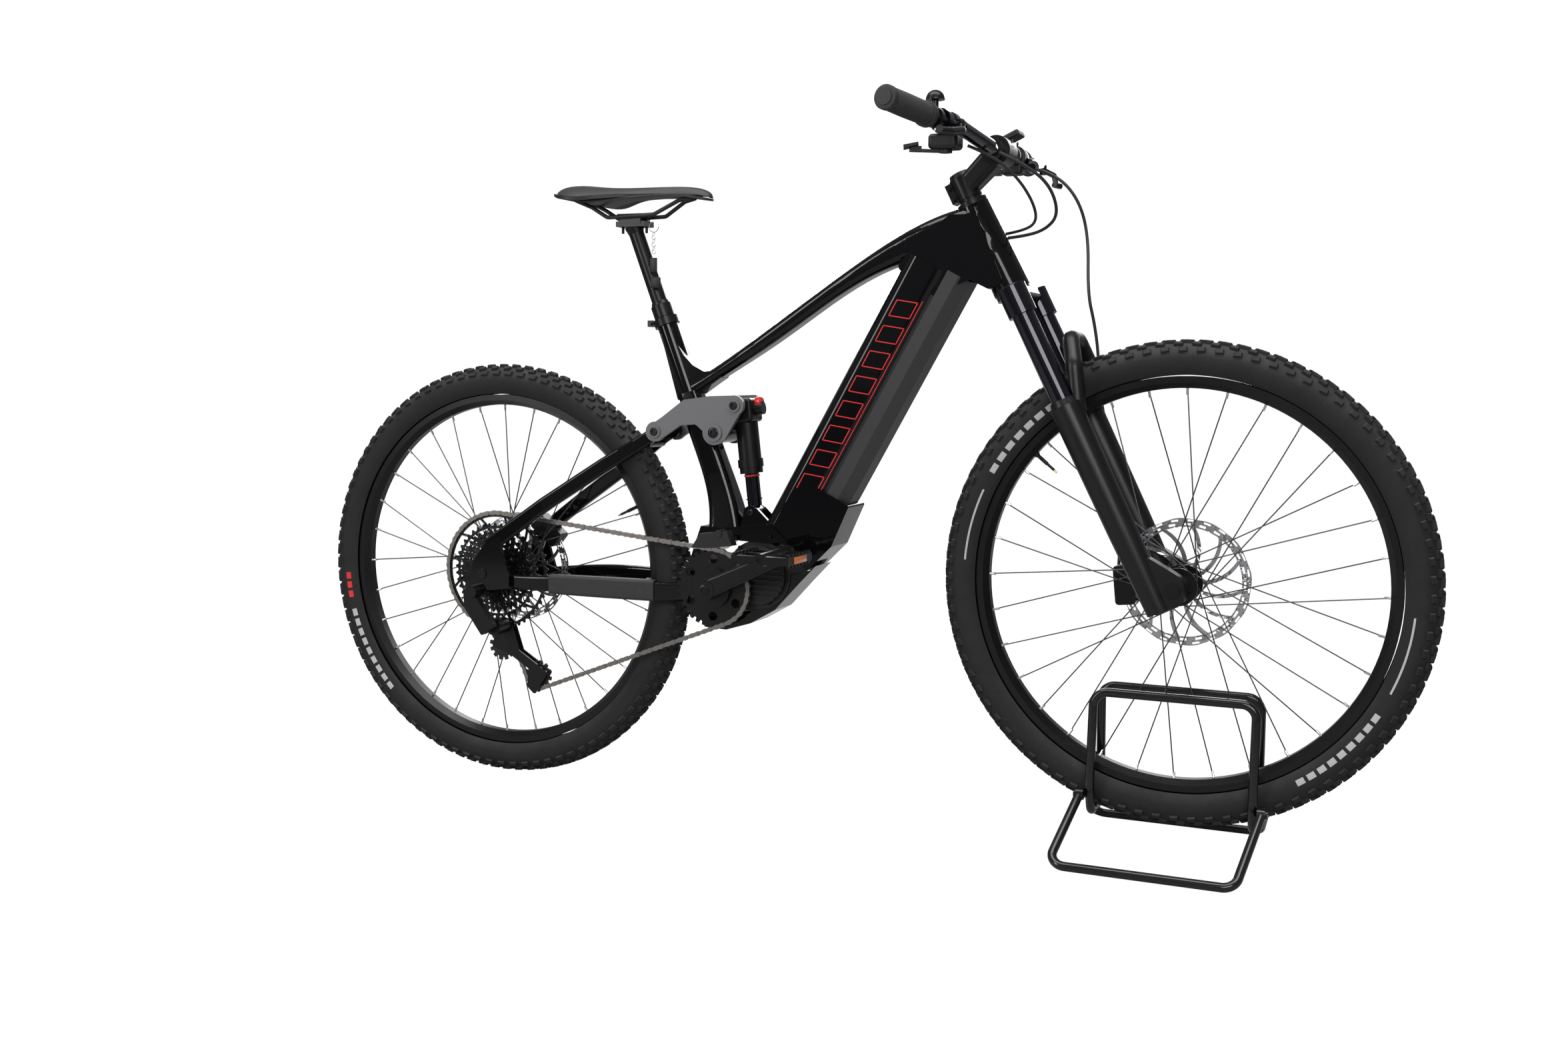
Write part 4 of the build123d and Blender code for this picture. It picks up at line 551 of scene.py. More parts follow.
def casing_profile():
    """(y, radius) round the casing from one bead to the other."""
    profile = []
    for step in range(29):
        angle = radians(-128 + step * 256 / 28)
        rise = CROWN_RISE * cos(angle) if cos(angle) > 0 else SIDE_DROP * cos(angle)
        profile.append((HALF_WIDTH * sin(angle), CROWN_CENTRE + rise))
    return [(y, r) for y, r in profile if r > BEAD_RADIUS]


def ring_of(centre, profile, steps):
    points, faces = [], []
    for step in range(steps):
        angle = 2 * pi * step / steps
        for y, radius in profile:
            points.append(centre + Vector((radius * cos(angle), y, radius * sin(angle))) / 1000)
    count = len(profile)
    for step in range(steps):
        after = (step + 1) % steps
        for index in range(count):
            following = (index + 1) % count
            faces.append((step * count + index, step * count + following, after * count + following,
                          after * count + index))
    return points, faces


def block(centre, wheel_angle, lean, length, width, height, twist=0.0):
    """One tread block: lean is its place round the section, in degrees from the crown."""
    tilt = radians(lean)
    out = Vector((cos(wheel_angle) * cos(tilt), sin(tilt), sin(wheel_angle) * cos(tilt)))
    along = Vector((-sin(wheel_angle), 0, cos(wheel_angle)))
    across = out.cross(along).normalized()
    along = (along * cos(twist) + across * sin(twist)).normalized()
    across = out.cross(along).normalized()
    crown = Vector((cos(wheel_angle), 0, sin(wheel_angle))) * (CROWN_CENTRE / 1000)
    section = Vector((cos(wheel_angle) * cos(tilt) * BLOCK_RISE, sin(tilt) * BLOCK_HALF,
                      sin(wheel_angle) * cos(tilt) * BLOCK_RISE))
    foot = centre + crown + section / 1000 - out * 0.001
    points, faces = [], []
    for rise, share in ((0, 1.0), (height * 0.8, 0.9), (height, 0.74)):
        for a, b in ((-1, -1), (1, -1), (1, 1), (-1, 1)):
            points.append(foot + out * (rise / 1000) + along * (a * length * share / 2000)
                          + across * (b * width * share / 2000))
    for level in (0, 4):
        for corner in range(4):
            after = (corner + 1) % 4
            faces.append((level + corner, level + after, level + after + 4, level + corner + 4))
    faces += [(0, 1, 2, 3), (8, 9, 10, 11)]
    return points, faces


def tyre(name, node, centre, body, pitches, rows):
    profile = casing_profile()
    inner = [(y * 0.9, r - 2.6 if abs(y) < 26 else r) for y, r in reversed(profile)]
    groups = [ring_of(centre, profile + inner, 200)]
    for index in range(pitches):
        for lean, length, width, height, shift, twist in rows:
            angle = 2 * pi * (index + shift) / pitches
            for side in (-1, 1):
                lag = 0.5 * pi / pitches if side > 0 else 0
                groups.append(block(centre, angle + lag, side * lean, length, width, height, side * twist))
    points, faces = merge(groups)
    piece = make_mesh(name, points, faces, "tyre_rubber", body, "tyre_rubber", angle=40)
    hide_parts(node)


# Each row of blocks: lean, length, width, height, shift along the tread, and twist.
REAR_PITCHES, FRONT_PITCHES = 88, 84
REAR_ROWS = [(9, 15, 9, 6.4, 0.0, 0.25), (33, 13, 9, 6.0, 0.45, -0.2), (58, 15, 9, 5.6, 0.1, 0.0)]
FRONT_ROWS = [(8, 17, 8, 6.4, 0.0, 0.35), (30, 14, 8, 6.0, 0.5, 0.1), (56, 13, 9, 5.4, 0.2, -0.1)]
tyre("rear_tread", "rear_tyre", REAR_AXLE, "rear_wheel", REAR_PITCHES, REAR_ROWS)
tyre("front_tread", "front_tyre", FRONT_AXLE, "front_wheel", FRONT_PITCHES, FRONT_ROWS)
print("tyre blocks", 2 * (REAR_PITCHES * len(REAR_ROWS) + FRONT_PITCHES * len(FRONT_ROWS)))

# %% [markdown]
# ## Marks on the sidewalls
# Printed marks break up a black sidewall. These are plain bars and blocks that lie a hair above
# the rubber.

# %% Sidewall marks
BAR_BAND, LINE_BAND = (331, 340), (333, 336)
MARK_LIFT = 0.35


def sidewall_bar(centre, side, start, end, low, high):
    points, faces = [], []
    steps = max(2, int(abs(end - start) / 1.5))
    for step in range(steps + 1):
        angle = radians(start + (end - start) * step / steps)
        for radius in (low, (low + high) / 2, high):
            drop = min(1.0, abs(radius - CROWN_CENTRE) / SIDE_DROP)
            width = HALF_WIDTH * sqrt(max(0.0, 1 - drop ** 2)) + MARK_LIFT
            points.append(centre + Vector((radius * cos(angle), side * width, radius * sin(angle))) / 1000)
    for step in range(steps):
        for index in range(2):
            a = step * 3 + index
            faces.append((a, a + 1, a + 4, a + 3))
    return points, faces


def bar_row(centre, start, end, count, low, high, fill=0.7):
    span = (end - start) / count
    rows = []
    for side in (-1, 1):
        for index in range(count):
            first, last = start + span * index, start + span * (index + fill)
            rows.append(sidewall_bar(centre, side, first, last, low, high))
    return rows


front_marks = bar_row(FRONT_AXLE, 122, 152, 8, *BAR_BAND) + bar_row(FRONT_AXLE, 156, 176, 1, *LINE_BAND, 1.0)
front_marks += bar_row(FRONT_AXLE, -30, -58, 9, *BAR_BAND) + bar_row(FRONT_AXLE, -4, -24, 1, *LINE_BAND, 1.0)
rear_marks = bar_row(REAR_AXLE, 196, 226, 9, *BAR_BAND)
red_marks = bar_row(REAR_AXLE, 184, 193, 3, *BAR_BAND)
make_mesh("front_marks", *merge(front_marks), "pale_print", "front_wheel", smooth=False)
make_mesh("rear_marks", *merge(rear_marks), "pale_print", "rear_wheel", smooth=False)
make_mesh("rear_marks_red", *merge(red_marks), "red_trim", "rear_wheel", smooth=False)
print("marks", len(front_marks) + len(rear_marks) + len(red_marks))

# %% [markdown]
# ## Spoke nipples and valves
# Each spoke ends in a small bright nipple at the rim, and the valve stands between two of them.

# %% Nipples and valves
SPOKES = 32


def wheel_details(prefix, centre, body, valve_angle):
    groups = []
    for index in range(SPOKES):
        angle = radians(index * 360 / SPOKES)
        out = Vector((cos(angle), 0, sin(angle)))
        side = 3 if index % 2 else -3
        foot = centre + out * 0.2895 + LEFT * (side / 1000)
        groups.append(turned_points(foot, out, [(0, 1.4), (1, 1.9), (9, 1.9), (10, 2.6)], 8))
    make_mesh(prefix + "_nipples", *merge(groups), "silver", body, "silver")
    angle = radians(valve_angle)
    out = Vector((cos(angle), 0, sin(angle)))
    stem = [(0, 2.2), (14, 2.2), (14.5, 3.0), (33, 3.0), (36, 5), (40, 5)]
    foot = centre + out * 0.262
    make_mesh(prefix + "_valve", *turned_points(foot, out, stem, 12), "black_metal", body, "black_metal")
    tip = turned_points(foot - out * 0.006, out, [(0, 1.3), (6.2, 1.6)], 8)
    make_mesh(prefix + "_valve_tip", *tip, "brass", body)


wheel_details("rear", REAR_AXLE, "rear_wheel", 25)
wheel_details("front", FRONT_AXLE, "front_wheel", 140)
print("nipples", 2 * SPOKES)

# %% [markdown]
# ## Brake rotors
# A rotor is a thin steel ring with rows of slots, carried on curved arms. A polar grid with the
# slot cells left out gives the ring, and a Solidify modifier gives it its thickness.

# %% Rotors
def polar_strip(centre, y, cells):
    """Flat quads between (angle, radius) corners, in degrees and millimetres."""
    points, faces = [], []
    for corners in cells:
        start = len(points)
        for angle, radius in corners:
            turn = radians(angle)
            points.append(centre + Vector((radius * cos(turn), y, radius * sin(turn))) / 1000)
        faces.append(tuple(range(start, start + 4)))
    return points, faces


ROTOR_THICKNESS = 0.0018
ROTOR_STEPS, ROTOR_RADII = 216, (85.5, 88.0, 91.5, 94.5, 97.5, 99.8)
SLOTS = {1: range(4), 3: range(2, 6)}
RIM_RING, RIM_WAVE = 4, 0.8


def braking_ring():
    """The outer ring's cells. Each slotted ring leaves some out of every nine, the rim is wavy."""
    cells = []
    for step in range(ROTOR_STEPS):
        a0, a1 = 360 * step / ROTOR_STEPS, 360 * (step + 1) / ROTOR_STEPS
        for ring, (r0, r1) in enumerate(zip(ROTOR_RADII, ROTOR_RADII[1:])):
            if (step + ring * 2) % 9 in SLOTS.get(ring, ()):
                continue
            if ring == RIM_RING:
                r1 = r1 + RIM_WAVE * sin(radians(a0 * 12)) - RIM_WAVE
            cells.append([(a0, r0), (a1, r0), (a1, r1), (a0, r1)])
    return cells


def rotor_arms():
    """Twelve curved arms in eight pieces each, and the flange that they start from."""
    cells = []
    for arm in range(12):
        start = arm * 30
        for piece in range(8):
            r0, r1 = 24 + piece * 7.8, 24 + (piece + 1) * 7.8
            t0, t1 = start + 24 * (piece / 8) ** 1.3, start + 24 * ((piece + 1) / 8) ** 1.3
            half0, half1 = min(190 / r0, 5.5), min(190 / r1, 5.5)
            cells.append([(t0 - half0, r0), (t0 + half0, r0), (t1 + half1, r1), (t1 - half1, r1)])
    for step in range(60):
        cells.append([(step * 6, 17.3), (step * 6 + 6, 17.3), (step * 6 + 6, 27), (step * 6, 27)])
    return cells


def rotor(name, node, centre, y, body):
    points, faces = polar_strip(centre, y, braking_ring() + rotor_arms())
    piece = make_mesh(name, points, faces, "rotor_steel", None, "rotor_steel", smooth=False)
    weld_and_thicken(piece, ROTOR_THICKNESS)
    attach(piece, body)
    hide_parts(node)
    bolts = []
    for index in range(6):
        turn = radians(index * 60 + 15)
        spot = centre + Vector((22 * cos(turn), y, 22 * sin(turn))) / 1000
        bolts.append(socket_bolt(spot + LEFT * 0.0009, LEFT, 4.0, 2.2))
    make_mesh(name + "_bolts", *merge(bolts), "black_metal", body, "black_metal")


rotor("front_disc", "front_rotor", FRONT_AXLE, 40.0, "front_wheel")
rotor("rear_disc", "rear_rotor", REAR_AXLE, 50.0, "rear_wheel")
print("rotors 2")

# %% [markdown]
# ## Chain
# The chain is drawn link by link along the line that it really takes: over the largest cog,
# through the two small wheels of the gear arm and round the front ring. Inner and outer links
# alternate, and a roller sits on every pin.

# %% Chain path
PITCH = 12.7


def pitch_radius(teeth):
    return PITCH / 2 / sin(pi / teeth)


WHEELS = [(CRANK, pitch_radius(32), 1, -52.0), (at(86, 189), pitch_radius(12), 1, -30.95),
          (at(10, 237), pitch_radius(12), -1, -30.95), (REAR_AXLE, pitch_radius(52), 1, -30.95)]


def belt_run(first, second):
    (c0, r0, t0, y0), (c1, r1, t1, y1) = first, second
    run = (c1 - c0) * 1000
    lean = asin((t1 * r1 - t0 * r0) / run.length)
    heading = atan2(run.z, run.x) + lean
    normal = Vector((-sin(heading), 0, cos(heading)))
    start, end = c0 * 1000 + normal * (t0 * r0), c1 * 1000 + normal * (t1 * r1)
    return Vector((start.x, y0, start.z)), Vector((end.x, y1, end.z))


def chain_line():
    """Fine points along the chain with what they belong to: a wheel's number or a run's."""
    runs = [belt_run(WHEELS[i], WHEELS[(i + 1) % 4]) for i in range(4)]
    line = []
    for index, (centre, radius, turn, y) in enumerate(WHEELS):
        entered, left = runs[index - 1][1], runs[index][0]
        first = atan2(entered.z - centre.z * 1000, entered.x - centre.x * 1000)
        last = atan2(left.z - centre.z * 1000, left.x - centre.x * 1000)
        sweep = ((first - last) * turn) % (2 * pi)
        steps = max(8, int(sweep * radius / 1.5))
        for step in range(steps):
            angle = first - turn * sweep * step / steps
            spot = Vector((centre.x * 1000 + radius * cos(angle), y, centre.z * 1000 + radius * sin(angle)))
            line.append((spot, "wheel", index))
        a, b = runs[index]
        steps = max(4, int((b - a).length / 1.5))
        for step in range(steps):
            share = step / steps
            across = share * share * (3 - 2 * share)
            spot = a.lerp(b, share)
            spot.y = a.y + (b.y - a.y) * across
            line.append((spot, "run", index))
    return line


path = chain_line()
chain_length = sum((path[i][0] - path[i - 1][0]).length for i in range(len(path)))
link_count = 2 * round(chain_length / PITCH / 2)
print("chain", round(chain_length), "mm,", link_count, "links")

# %% Chain links
def pins_along(count):
    step = chain_length / count
    pins, walked, index = [], 0.0, 0
    target = 0.0
    while len(pins) < count:
        here, kind, number = path[index % len(path)]
        after = path[(index + 1) % len(path)][0]
        gap = (after - here).length
        while target <= walked + gap and len(pins) < count:
            pins.append((here.lerp(after, (target - walked) / gap), kind, number))
            target += step
        walked += gap
        index += 1
    return pins


def link_plate(a, b, y_shift, thick, width):
    """A figure-of-eight side plate between two pins."""
    run = (b - a).normalized()
    up = LEFT.cross(run).normalized()
    outline = []
    for centre, base in ((b, 0.0), (a, pi)):
        for step in range(5):
            angle = base - pi / 2 + pi * step / 4
            outline.append(centre + (run * cos(angle) + up * sin(angle)) * (width / 2))
        outline.append((a + b) / 2 + up * (width * (0.36 if base == 0 else -0.36)))
    points = []
    for offset in (y_shift - thick / 2, y_shift + thick / 2):
        points += [(p + Vector((0, offset, 0))) / 1000 for p in outline]
    count = len(outline)
    faces = [tuple(range(count)), tuple(reversed(range(count, 2 * count)))]
    for index in range(count):
        after = (index + 1) % count
        faces.append((index, after, after + count, index + count))
    return points, faces


pins = pins_along(link_count)
parts_of_chain = {}
for index, (a, kind, number) in enumerate(pins):
    b = pins[(index + 1) % link_count][0]
    outer = index % 2 == 0
    group = parts_of_chain.setdefault((kind, number), [])
    shift, thick = (2.75, 0.9) if outer else (1.95, 0.8)
    for side in (-1, 1):
        group.append(link_plate(a, b, side * shift, thick, 8.4 if outer else 7.8))
    group.append(turned_points((a - LEFT * 3.5) / 1000, LEFT, [(0, 1.8), (7.0, 1.8)], 8))
    group.append(turned_points((a - LEFT * 1.3) / 1000, LEFT, [(0, 3.6), (2.6, 3.6)], 10))
HOLDERS = {("wheel", 0): "frame", ("wheel", 1): "cage", ("wheel", 2): "cage", ("wheel", 3): "rear_triangle",
           ("run", 1): "cage", ("run", 2): "rear_triangle"}
for key, group in parts_of_chain.items():
    name = "chain_" + key[0] + "_" + str(key[1])
    piece = make_mesh(name, *merge(group), "steel", HOLDERS.get(key), "steel", angle=50)
    if key == ("run", 0):
        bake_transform(piece)
    if key == ("run", 3):
        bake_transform(piece)
        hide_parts("chain")
print("chain pieces", len(parts_of_chain))

# %% [markdown]
# ## Cassette
# Twelve cogs sit side by side, and every large one is mostly air: a toothed rim on a few slim
# arms. Seen from the side that gives the lace of holes that a solid disc lacks.

# %% Cassette
COG_TEETH = (10, 12, 14, 16, 18, 21, 24, 28, 32, 36, 42, 52)
COG_THICKNESS, COG_STEP, FIRST_COG = 0.0017, 3.55, -70.0
RIM_DEPTH, ARM_FOOT = 7.5, 17


def cog_cells(teeth, arms):
    """(outer rim, arms) of one cog as polar cells."""
    pitch = pitch_radius(teeth)
    step = 360 / teeth
    cells = []
    for tooth in range(teeth):
        base = tooth * step
        low, high, root = pitch - RIM_DEPTH, pitch + 2.6, pitch - 3.2
        marks = [0, 0.18, 0.36, 0.5, 0.62, 0.8, 1.0]
        tops = [root + 0.8, root, root + 0.8, high - 1.2, high, high - 1.2, root + 0.8]
        for index in range(6):
            a0, a1 = base + marks[index] * step, base + marks[index + 1] * step
            cells.append([(a0, low), (a1, low), (a1, tops[index + 1]), (a0, tops[index])])
    for arm in range(arms):
        start = arm * 360 / arms + teeth
        reach = pitch - RIM_DEPTH
        rows = max(2, int((reach - ARM_FOOT) / 9))
        for row in range(rows):
            r0 = ARM_FOOT + (reach - ARM_FOOT) * row / rows
            r1 = ARM_FOOT + (reach - ARM_FOOT) * (row + 1) / rows
            t0, t1 = start + 0.35 * (r0 - ARM_FOOT), start + 0.35 * (r1 - ARM_FOOT)
            h0, h1 = degrees(2.6 / r0), degrees(2.6 / r1)
            cells.append([(t0 - h0, r0), (t0 + h0, r0), (t1 + h1, r1), (t1 - h1, r1)])
    return cells


def cassette_stack():
    groups = []
    for index, teeth in enumerate(COG_TEETH):
        y = FIRST_COG + index * COG_STEP
        arms = 0 if teeth < 21 else 8 if teeth < 36 else 12
        groups.append(polar_strip(REAR_AXLE, y, cog_cells(teeth, arms)))
    points, faces = merge(groups)
    piece = make_mesh("cassette_cogs", points, faces, "cassette_black", None, "cassette_black", smooth=False)
    weld_and_thicken(piece, COG_THICKNESS)
    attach(piece, "cassette")
    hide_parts("cassette")
    core = [(0, 9), (0, 16.5), (3, 17), (42, 17.4), (43.5, 16), (43.5, 9)]
    tubes = [turned_points(REAR_AXLE + LEFT * -0.0715, LEFT, core, 40)]
    for index, teeth in enumerate(COG_TEETH[:5]):
        inner = pitch_radius(teeth) - 7.6
        tubes.append(turned_points(REAR_AXLE + LEFT * (-0.0708 + index * 0.00355), LEFT,
                                   [(0, max(inner, 12.5)), (1.6, max(inner, 12.5))], 40))
    make_mesh("cassette_core", *merge(tubes), "black_metal", "cassette", "black_metal")


cassette_stack()
print("cogs", len(COG_TEETH))

# %% [markdown]
# ## Saddle
# The saddle is a stuffed pad on a stiff shell: broad and dished at the back, narrow at the nose,
# with a shallow channel down its middle. Cross sections placed along it and joined give one
# crowned, closed form.

# %% Saddle pad
SADDLE_STATIONS = [
    # x, half width, crown height, side height, channel depth
    (125, 20, 1045, 1040, 0.0), (129, 42, 1050, 1037, 0.6), (140, 57, 1054, 1030, 1.6),
    (158, 67, 1055.5, 1024, 2.4), (182, 70.5, 1055, 1018, 3.0), (206, 65.5, 1052, 1016, 3.2),
    (230, 52.5, 1050, 1020, 3.4), (258, 36, 1049.5, 1027, 3.4), (290, 27, 1050, 1030, 3.2),
    (325, 22.5, 1050.5, 1032, 2.8), (360, 20.5, 1050, 1032, 2.2), (388, 18, 1046.5, 1031, 1.2),
    (405, 13.5, 1040, 1029, 0.4), (412, 7, 1033, 1027, 0.0)]


def saddle_section(x, half, crown, side, channel):
    """Points round one cross section, from the left edge over the top and back underneath."""
    row = []
    for step in range(21):
        across = -1 + 2 * step / 20
        drop = abs(across) ** 2.6
        dip = channel * max(0.0, 1 - (abs(across) * half / 11) ** 2)
        row.append(at(x, crown - (crown - side) * drop - dip, -across * half))
    for step in range(1, 12):
        across = 1 - 2 * step / 12
        lift = min(1.0, (1 - abs(across)) * 3.2)
        row.append(at(x, side + (crown - 9 - side) * lift * 0.9, -across * half * 0.93))
    return row


def saddle_pad():
    rows = [saddle_section(*station) for station in SADDLE_STATIONS]
    count = len(rows[0])
    points = [p for row in rows for p in row]
    faces = []
    for row in range(len(rows) - 1):
        for index in range(count):
            after = (index + 1) % count
            faces.append((row * count + index, row * count + after, (row + 1) * count + after,
                          (row + 1) * count + index))
    faces.append(tuple(reversed(range(count))))
    faces.append(tuple((len(rows) - 1) * count + index for index in range(count)))
    piece = make_mesh("saddle_cushion", points, faces, "cover_skin", None, "cover_skin", angle=80)
    rounder = piece.modifiers.new("soften", "SUBSURF")
    rounder.levels = rounder.render_levels = 2
    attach(piece, "seatpost")
    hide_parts("saddle_pad")


saddle_pad()
print("saddle stations", len(SADDLE_STATIONS))

# %% [markdown]
# ## Grips
# The grips are turned rubber sleeves with rings cut into them and a clamp ring at each end.

# %% Grips
def grip(side):
    inner, outer = bar_point(side * 260), bar_point(side * 390)
    axis = (outer - inner).normalized()
    profile = [(0, 11.2), (0, 18.2), (1, 18.6), (8, 18.6), (9, 18.0), (9.4, 15.6)]
    for index in range(34):
        along = 11 + index * 3.1
        swell = 15.6 + 0.5 * sin(index / 33 * pi)
        ridge = swell + 0.75
        profile += [(along, swell), (along + 0.5, ridge), (along + 1.9, ridge), (along + 2.4, swell)]
    profile += [(118, 15.6), (118.6, 17.2), (126, 17.2), (127.6, 16.2), (128.2, 13.5)]
    return turned_points(inner, axis, profile, 40)


rubber = make_mesh("grip_sleeves", *merge([grip(-1), grip(1)]), "soft_rubber", "steering", "soft_rubber")
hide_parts("grips")
print("grips 2")

# %% [markdown]
# ## Bolts and pivots
# Socket bolts mark every pivot and clamp. One builder makes them all, and each set rides with
# the part that it is screwed into.

# %% Bolts
RIGHT = Vector((0, -1, 0))
ROCKER_HALF = 46.5


def both_sides(place, half, radius, height=2.5):
    heads = []
    for side in (-1, 1):
        heads.append(socket_bolt(Vector((place.x, side * half / 1000, place.z)), LEFT * side, radius, height))
    return heads


bolt_sets = {
    "rocker": (both_sides(ROCKER_REAR, ROCKER_HALF, 7) + both_sides(ROCKER_PIVOT, ROCKER_HALF, 9)
               + both_sides(ROCKER_SHOCK, ROCKER_HALF, 7)),
    "swingarm": both_sides(MAIN_PIVOT, 47.6, 9, 2),
    "rear_triangle": both_sides(STAY_PIVOT, 76, 7, 2),
    "cranks": [socket_bolt(CRANK - LEFT * 0.088, RIGHT, 9, 2), socket_bolt(CRANK + LEFT * 0.088, LEFT, 9, 2)],
}
motor_bolts = []
for x, z in ((486, 442), (556, 432), (570, 392), (540, 352), (480, 346)):
    motor_bolts += both_sides(at(x, z), 38, 3.6, 3)
bolt_sets["frame"] = motor_bolts + both_sides(SHOCK_FOOT, 22, 6, 3)
for body, heads in bolt_sets.items():
    make_mesh("bolts_" + body, *merge(heads), "black_metal", body, "black_metal")
cockpit = []
for y in (-17, 17):
    for height in (-13, 13):
        cockpit.append(socket_bolt(at(931, 1082 + height, y), Vector((1, 0, 0)), 3.2, 2))
make_mesh("bolts_cockpit", *merge(cockpit), "black_metal", "steering", "black_metal")
print("bolt sets", len(bolt_sets) + 1)

# %% [markdown]
# ## Line graphic on the down tube
# The real tube carries a red outlined graphic. Here it is a plain row of slanted outline frames
# along both sides, thin red strips that lie on the paint.

# %% Down tube graphic
TUBE_UP = Vector((0.483, 0, 0.8756)).normalized()
TUBE_OUT = Vector((0.8756, 0, -0.483)).normalized()
TUBE_SIDE, STRIP_THICKNESS = 36.0, 0.35
FRAME_STEP, LOW_EDGE, HIGH_EDGE = 46, 250, 283


def tube_spot(along, out, y):
    return at(0, 0, y) + TUBE_UP * (along / 1000) + TUBE_OUT * (out / 1000)


def strip(start, end, side, width=1.6):
    """A thin red strip between two (along, out) places on the tube's side."""
    (a0, n0), (a1, n1) = start, end
    length = sqrt((a1 - a0) ** 2 + (n1 - n0) ** 2)
    across = ((n1 - n0) / length * width / 2, -(a1 - a0) / length * width / 2)
    points = []
    for y in (TUBE_SIDE, TUBE_SIDE + STRIP_THICKNESS):
        for a, n, sign in ((a0, n0, 1), (a1, n1, 1), (a1, n1, -1), (a0, n0, -1)):
            points.append(tube_spot(a + across[0] * sign, n + across[1] * sign, side * y))
    faces = [(0, 1, 2, 3), (7, 6, 5, 4), (0, 4, 5, 1), (1, 5, 6, 2), (2, 6, 7, 3), (3, 7, 4, 0)]
    return points, faces


strips = []
for side in (-1, 1):
    for index in range(9):
        low = 716 + index * FRAME_STEP
        corners = [(low, LOW_EDGE), (low + 12, HIGH_EDGE), (low + 40, HIGH_EDGE), (low + 28, LOW_EDGE)]
        for a, b in zip(corners, corners[1:] + corners[:1]):
            strips.append(strip(a, b, side))
    strips.append(strip((704, 289), (1130, 289), side, 1.2))
make_mesh("tube_lines", *merge(strips), "red_trim", "frame", smooth=False)
print("strips", len(strips))

# %% [markdown]
# ## Reflectors, dials and small trim
# Amber reflectors sit in the pedals, the damper has a red dial and a travel ring, and a key ring
# with its tag hangs from the saddle rails.

# %% Pedal reflectors
def brick(centre, half_x, half_y, half_z, bevel=0.6):
    made = bmesh.new()
    bmesh.ops.create_cube(made, size=1.0)
    bmesh.ops.scale(made, vec=(2 * half_x / 1000, 2 * half_y / 1000, 2 * half_z / 1000), verts=made.verts)
    bmesh.ops.bevel(made, geom=made.edges, offset=bevel / 1000, segments=2, affect="EDGES", profile=0.5)
    points = [v.co + Vector(centre) for v in made.verts]
    faces = [tuple(v.index for v in face.verts) for face in made.faces]
    made.free()
    return points, faces


CRANK_TURN, CRANK_LENGTH, PEDAL_MIDDLE = radians(25), 165.0, 150
for side, body in ((-1, "pedal_right"), (1, "pedal_left")):
    reach = CRANK_LENGTH * (1 if side < 0 else -1)
    centre = CRANK + Vector((reach * cos(CRANK_TURN), side * PEDAL_MIDDLE, reach * sin(CRANK_TURN))) / 1000
    pair = [brick(centre + Vector((x / 1000, 0, 0)), 1.2, 24, 5.2) for x in (-49.6, 49.6)]
    make_mesh(body + "_reflector", *merge(pair), "amber", body, angle=30)
print("reflectors 4")

# %% Damper trim
SHOCK_UP = (ROCKER_SHOCK - SHOCK_FOOT).normalized()
dial_place = SHOCK_FOOT + SHOCK_UP * 0.186 + Vector((0.022, 0, 0))
dial = turned_points(dial_place, Vector((1, 0, 0.1)), [(0, 9), (2, 10), (9, 10), (11, 8)], 24)
make_mesh("damper_dial", *dial, "red_trim", "shock_upper")
band_profile = [(0, 12.1), (0.5, 13.2), (3, 13.2), (3.5, 12.1)]
band = turned_points(SHOCK_FOOT + SHOCK_UP * 0.060, SHOCK_UP, band_profile, 28)
make_mesh("damper_ring", *band, "red_trim", "shock_lower")
print("damper trim 2")

# %% Key ring
def ring_points(centre, radius, wire, turn_axis):
    _, side, other = axis_frame(turn_axis)
    loop = [centre + (side * cos(2 * pi * i / 24) + other * sin(2 * pi * i / 24)) * (radius / 1000)
            for i in range(25)]
    return tube_mesh(loop, wire, 8)


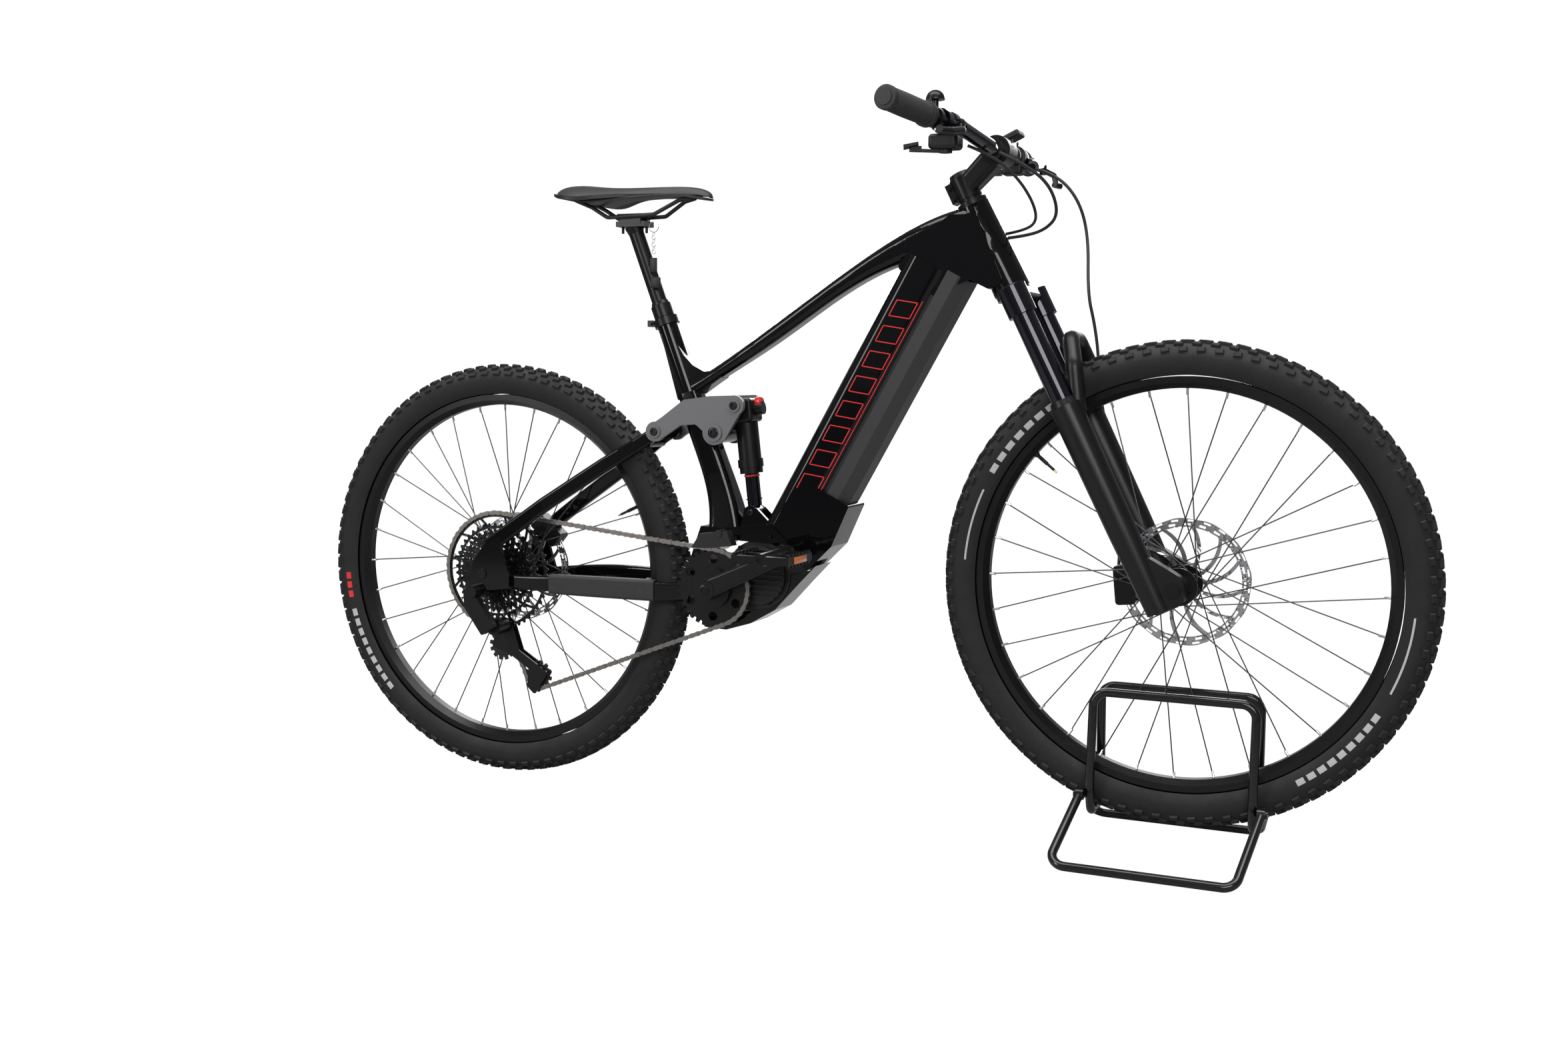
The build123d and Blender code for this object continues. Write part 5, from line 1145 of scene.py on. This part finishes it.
hang = at(312, 990, -22)
key_parts = [ring_points(hang - Vector((0, 0, 0.010)), 9, 0.7, LEFT)]
for index in range(6):
    key_parts.append(ring_points(hang - Vector((0, 0, 0.022 + index * 0.006)), 3.4, 0.5,
                                 LEFT if index % 2 else Vector((1, 0, 0))))
make_mesh("key_chain", *merge(key_parts), "silver", "seatpost", "silver")
tag = [brick(hang - Vector((0, 0, 0.074)), 6.5, 1.6, 12, 1.2),
       brick(hang - Vector((-0.004, 0, 0.104)), 9, 2.4, 9, 1.4)]
make_mesh("key_tag", *merge(tag), "matte_black", "seatpost", "matte_black", angle=30)
print("key ring 1")

# %% [markdown]
# ## Floor
# A plain pale floor catches the soft shadows. It isn't part of the bicycle. A real white floor
# would show in every black face, so its glow is only for the camera: to reflections it is grey.

# %% Floor
HALF_FLOOR = 60
floor_corners = [(x * HALF_FLOOR, y * HALF_FLOOR, 0) for x, y in ((-1, -1), (1, -1), (1, 1), (-1, 1))]
floor_mesh = bpy.data.meshes.new("floor")
floor_mesh.from_pydata(floor_corners, [], [(0, 1, 2, 3)])
floor = bpy.data.objects.new("floor", floor_mesh)
bpy.context.scene.collection.objects.link(floor)
floor_finish = finish_of("floor_white", (0.42, 0.42, 0.42), 0.7, grain=60, bump=0.0, dust=0.0, scuff=0.0,
                         specular=0.1)
FLOOR_GLOW, GLOW_SHARE = 1.2, 0.82


def glow_for_camera(finish):
    tree = finish.node_tree
    glow = tree.nodes.new("ShaderNodeEmission")
    glow.inputs["Strength"].default_value = FLOOR_GLOW
    path = tree.nodes.new("ShaderNodeLightPath")
    mix = tree.nodes.new("ShaderNodeMixShader")
    tree.links.new(math_node(tree, "MULTIPLY", path.outputs["Is Camera Ray"], GLOW_SHARE), mix.inputs[0])
    tree.links.new(tree.nodes["Principled BSDF"].outputs[0], mix.inputs[1])
    tree.links.new(glow.outputs[0], mix.inputs[2])
    tree.links.new(mix.outputs[0], tree.nodes["Material Output"].inputs["Surface"])


glow_for_camera(floor_finish)
floor_mesh.materials.append(floor_finish)
print("floor", 2 * HALF_FLOOR, "m")
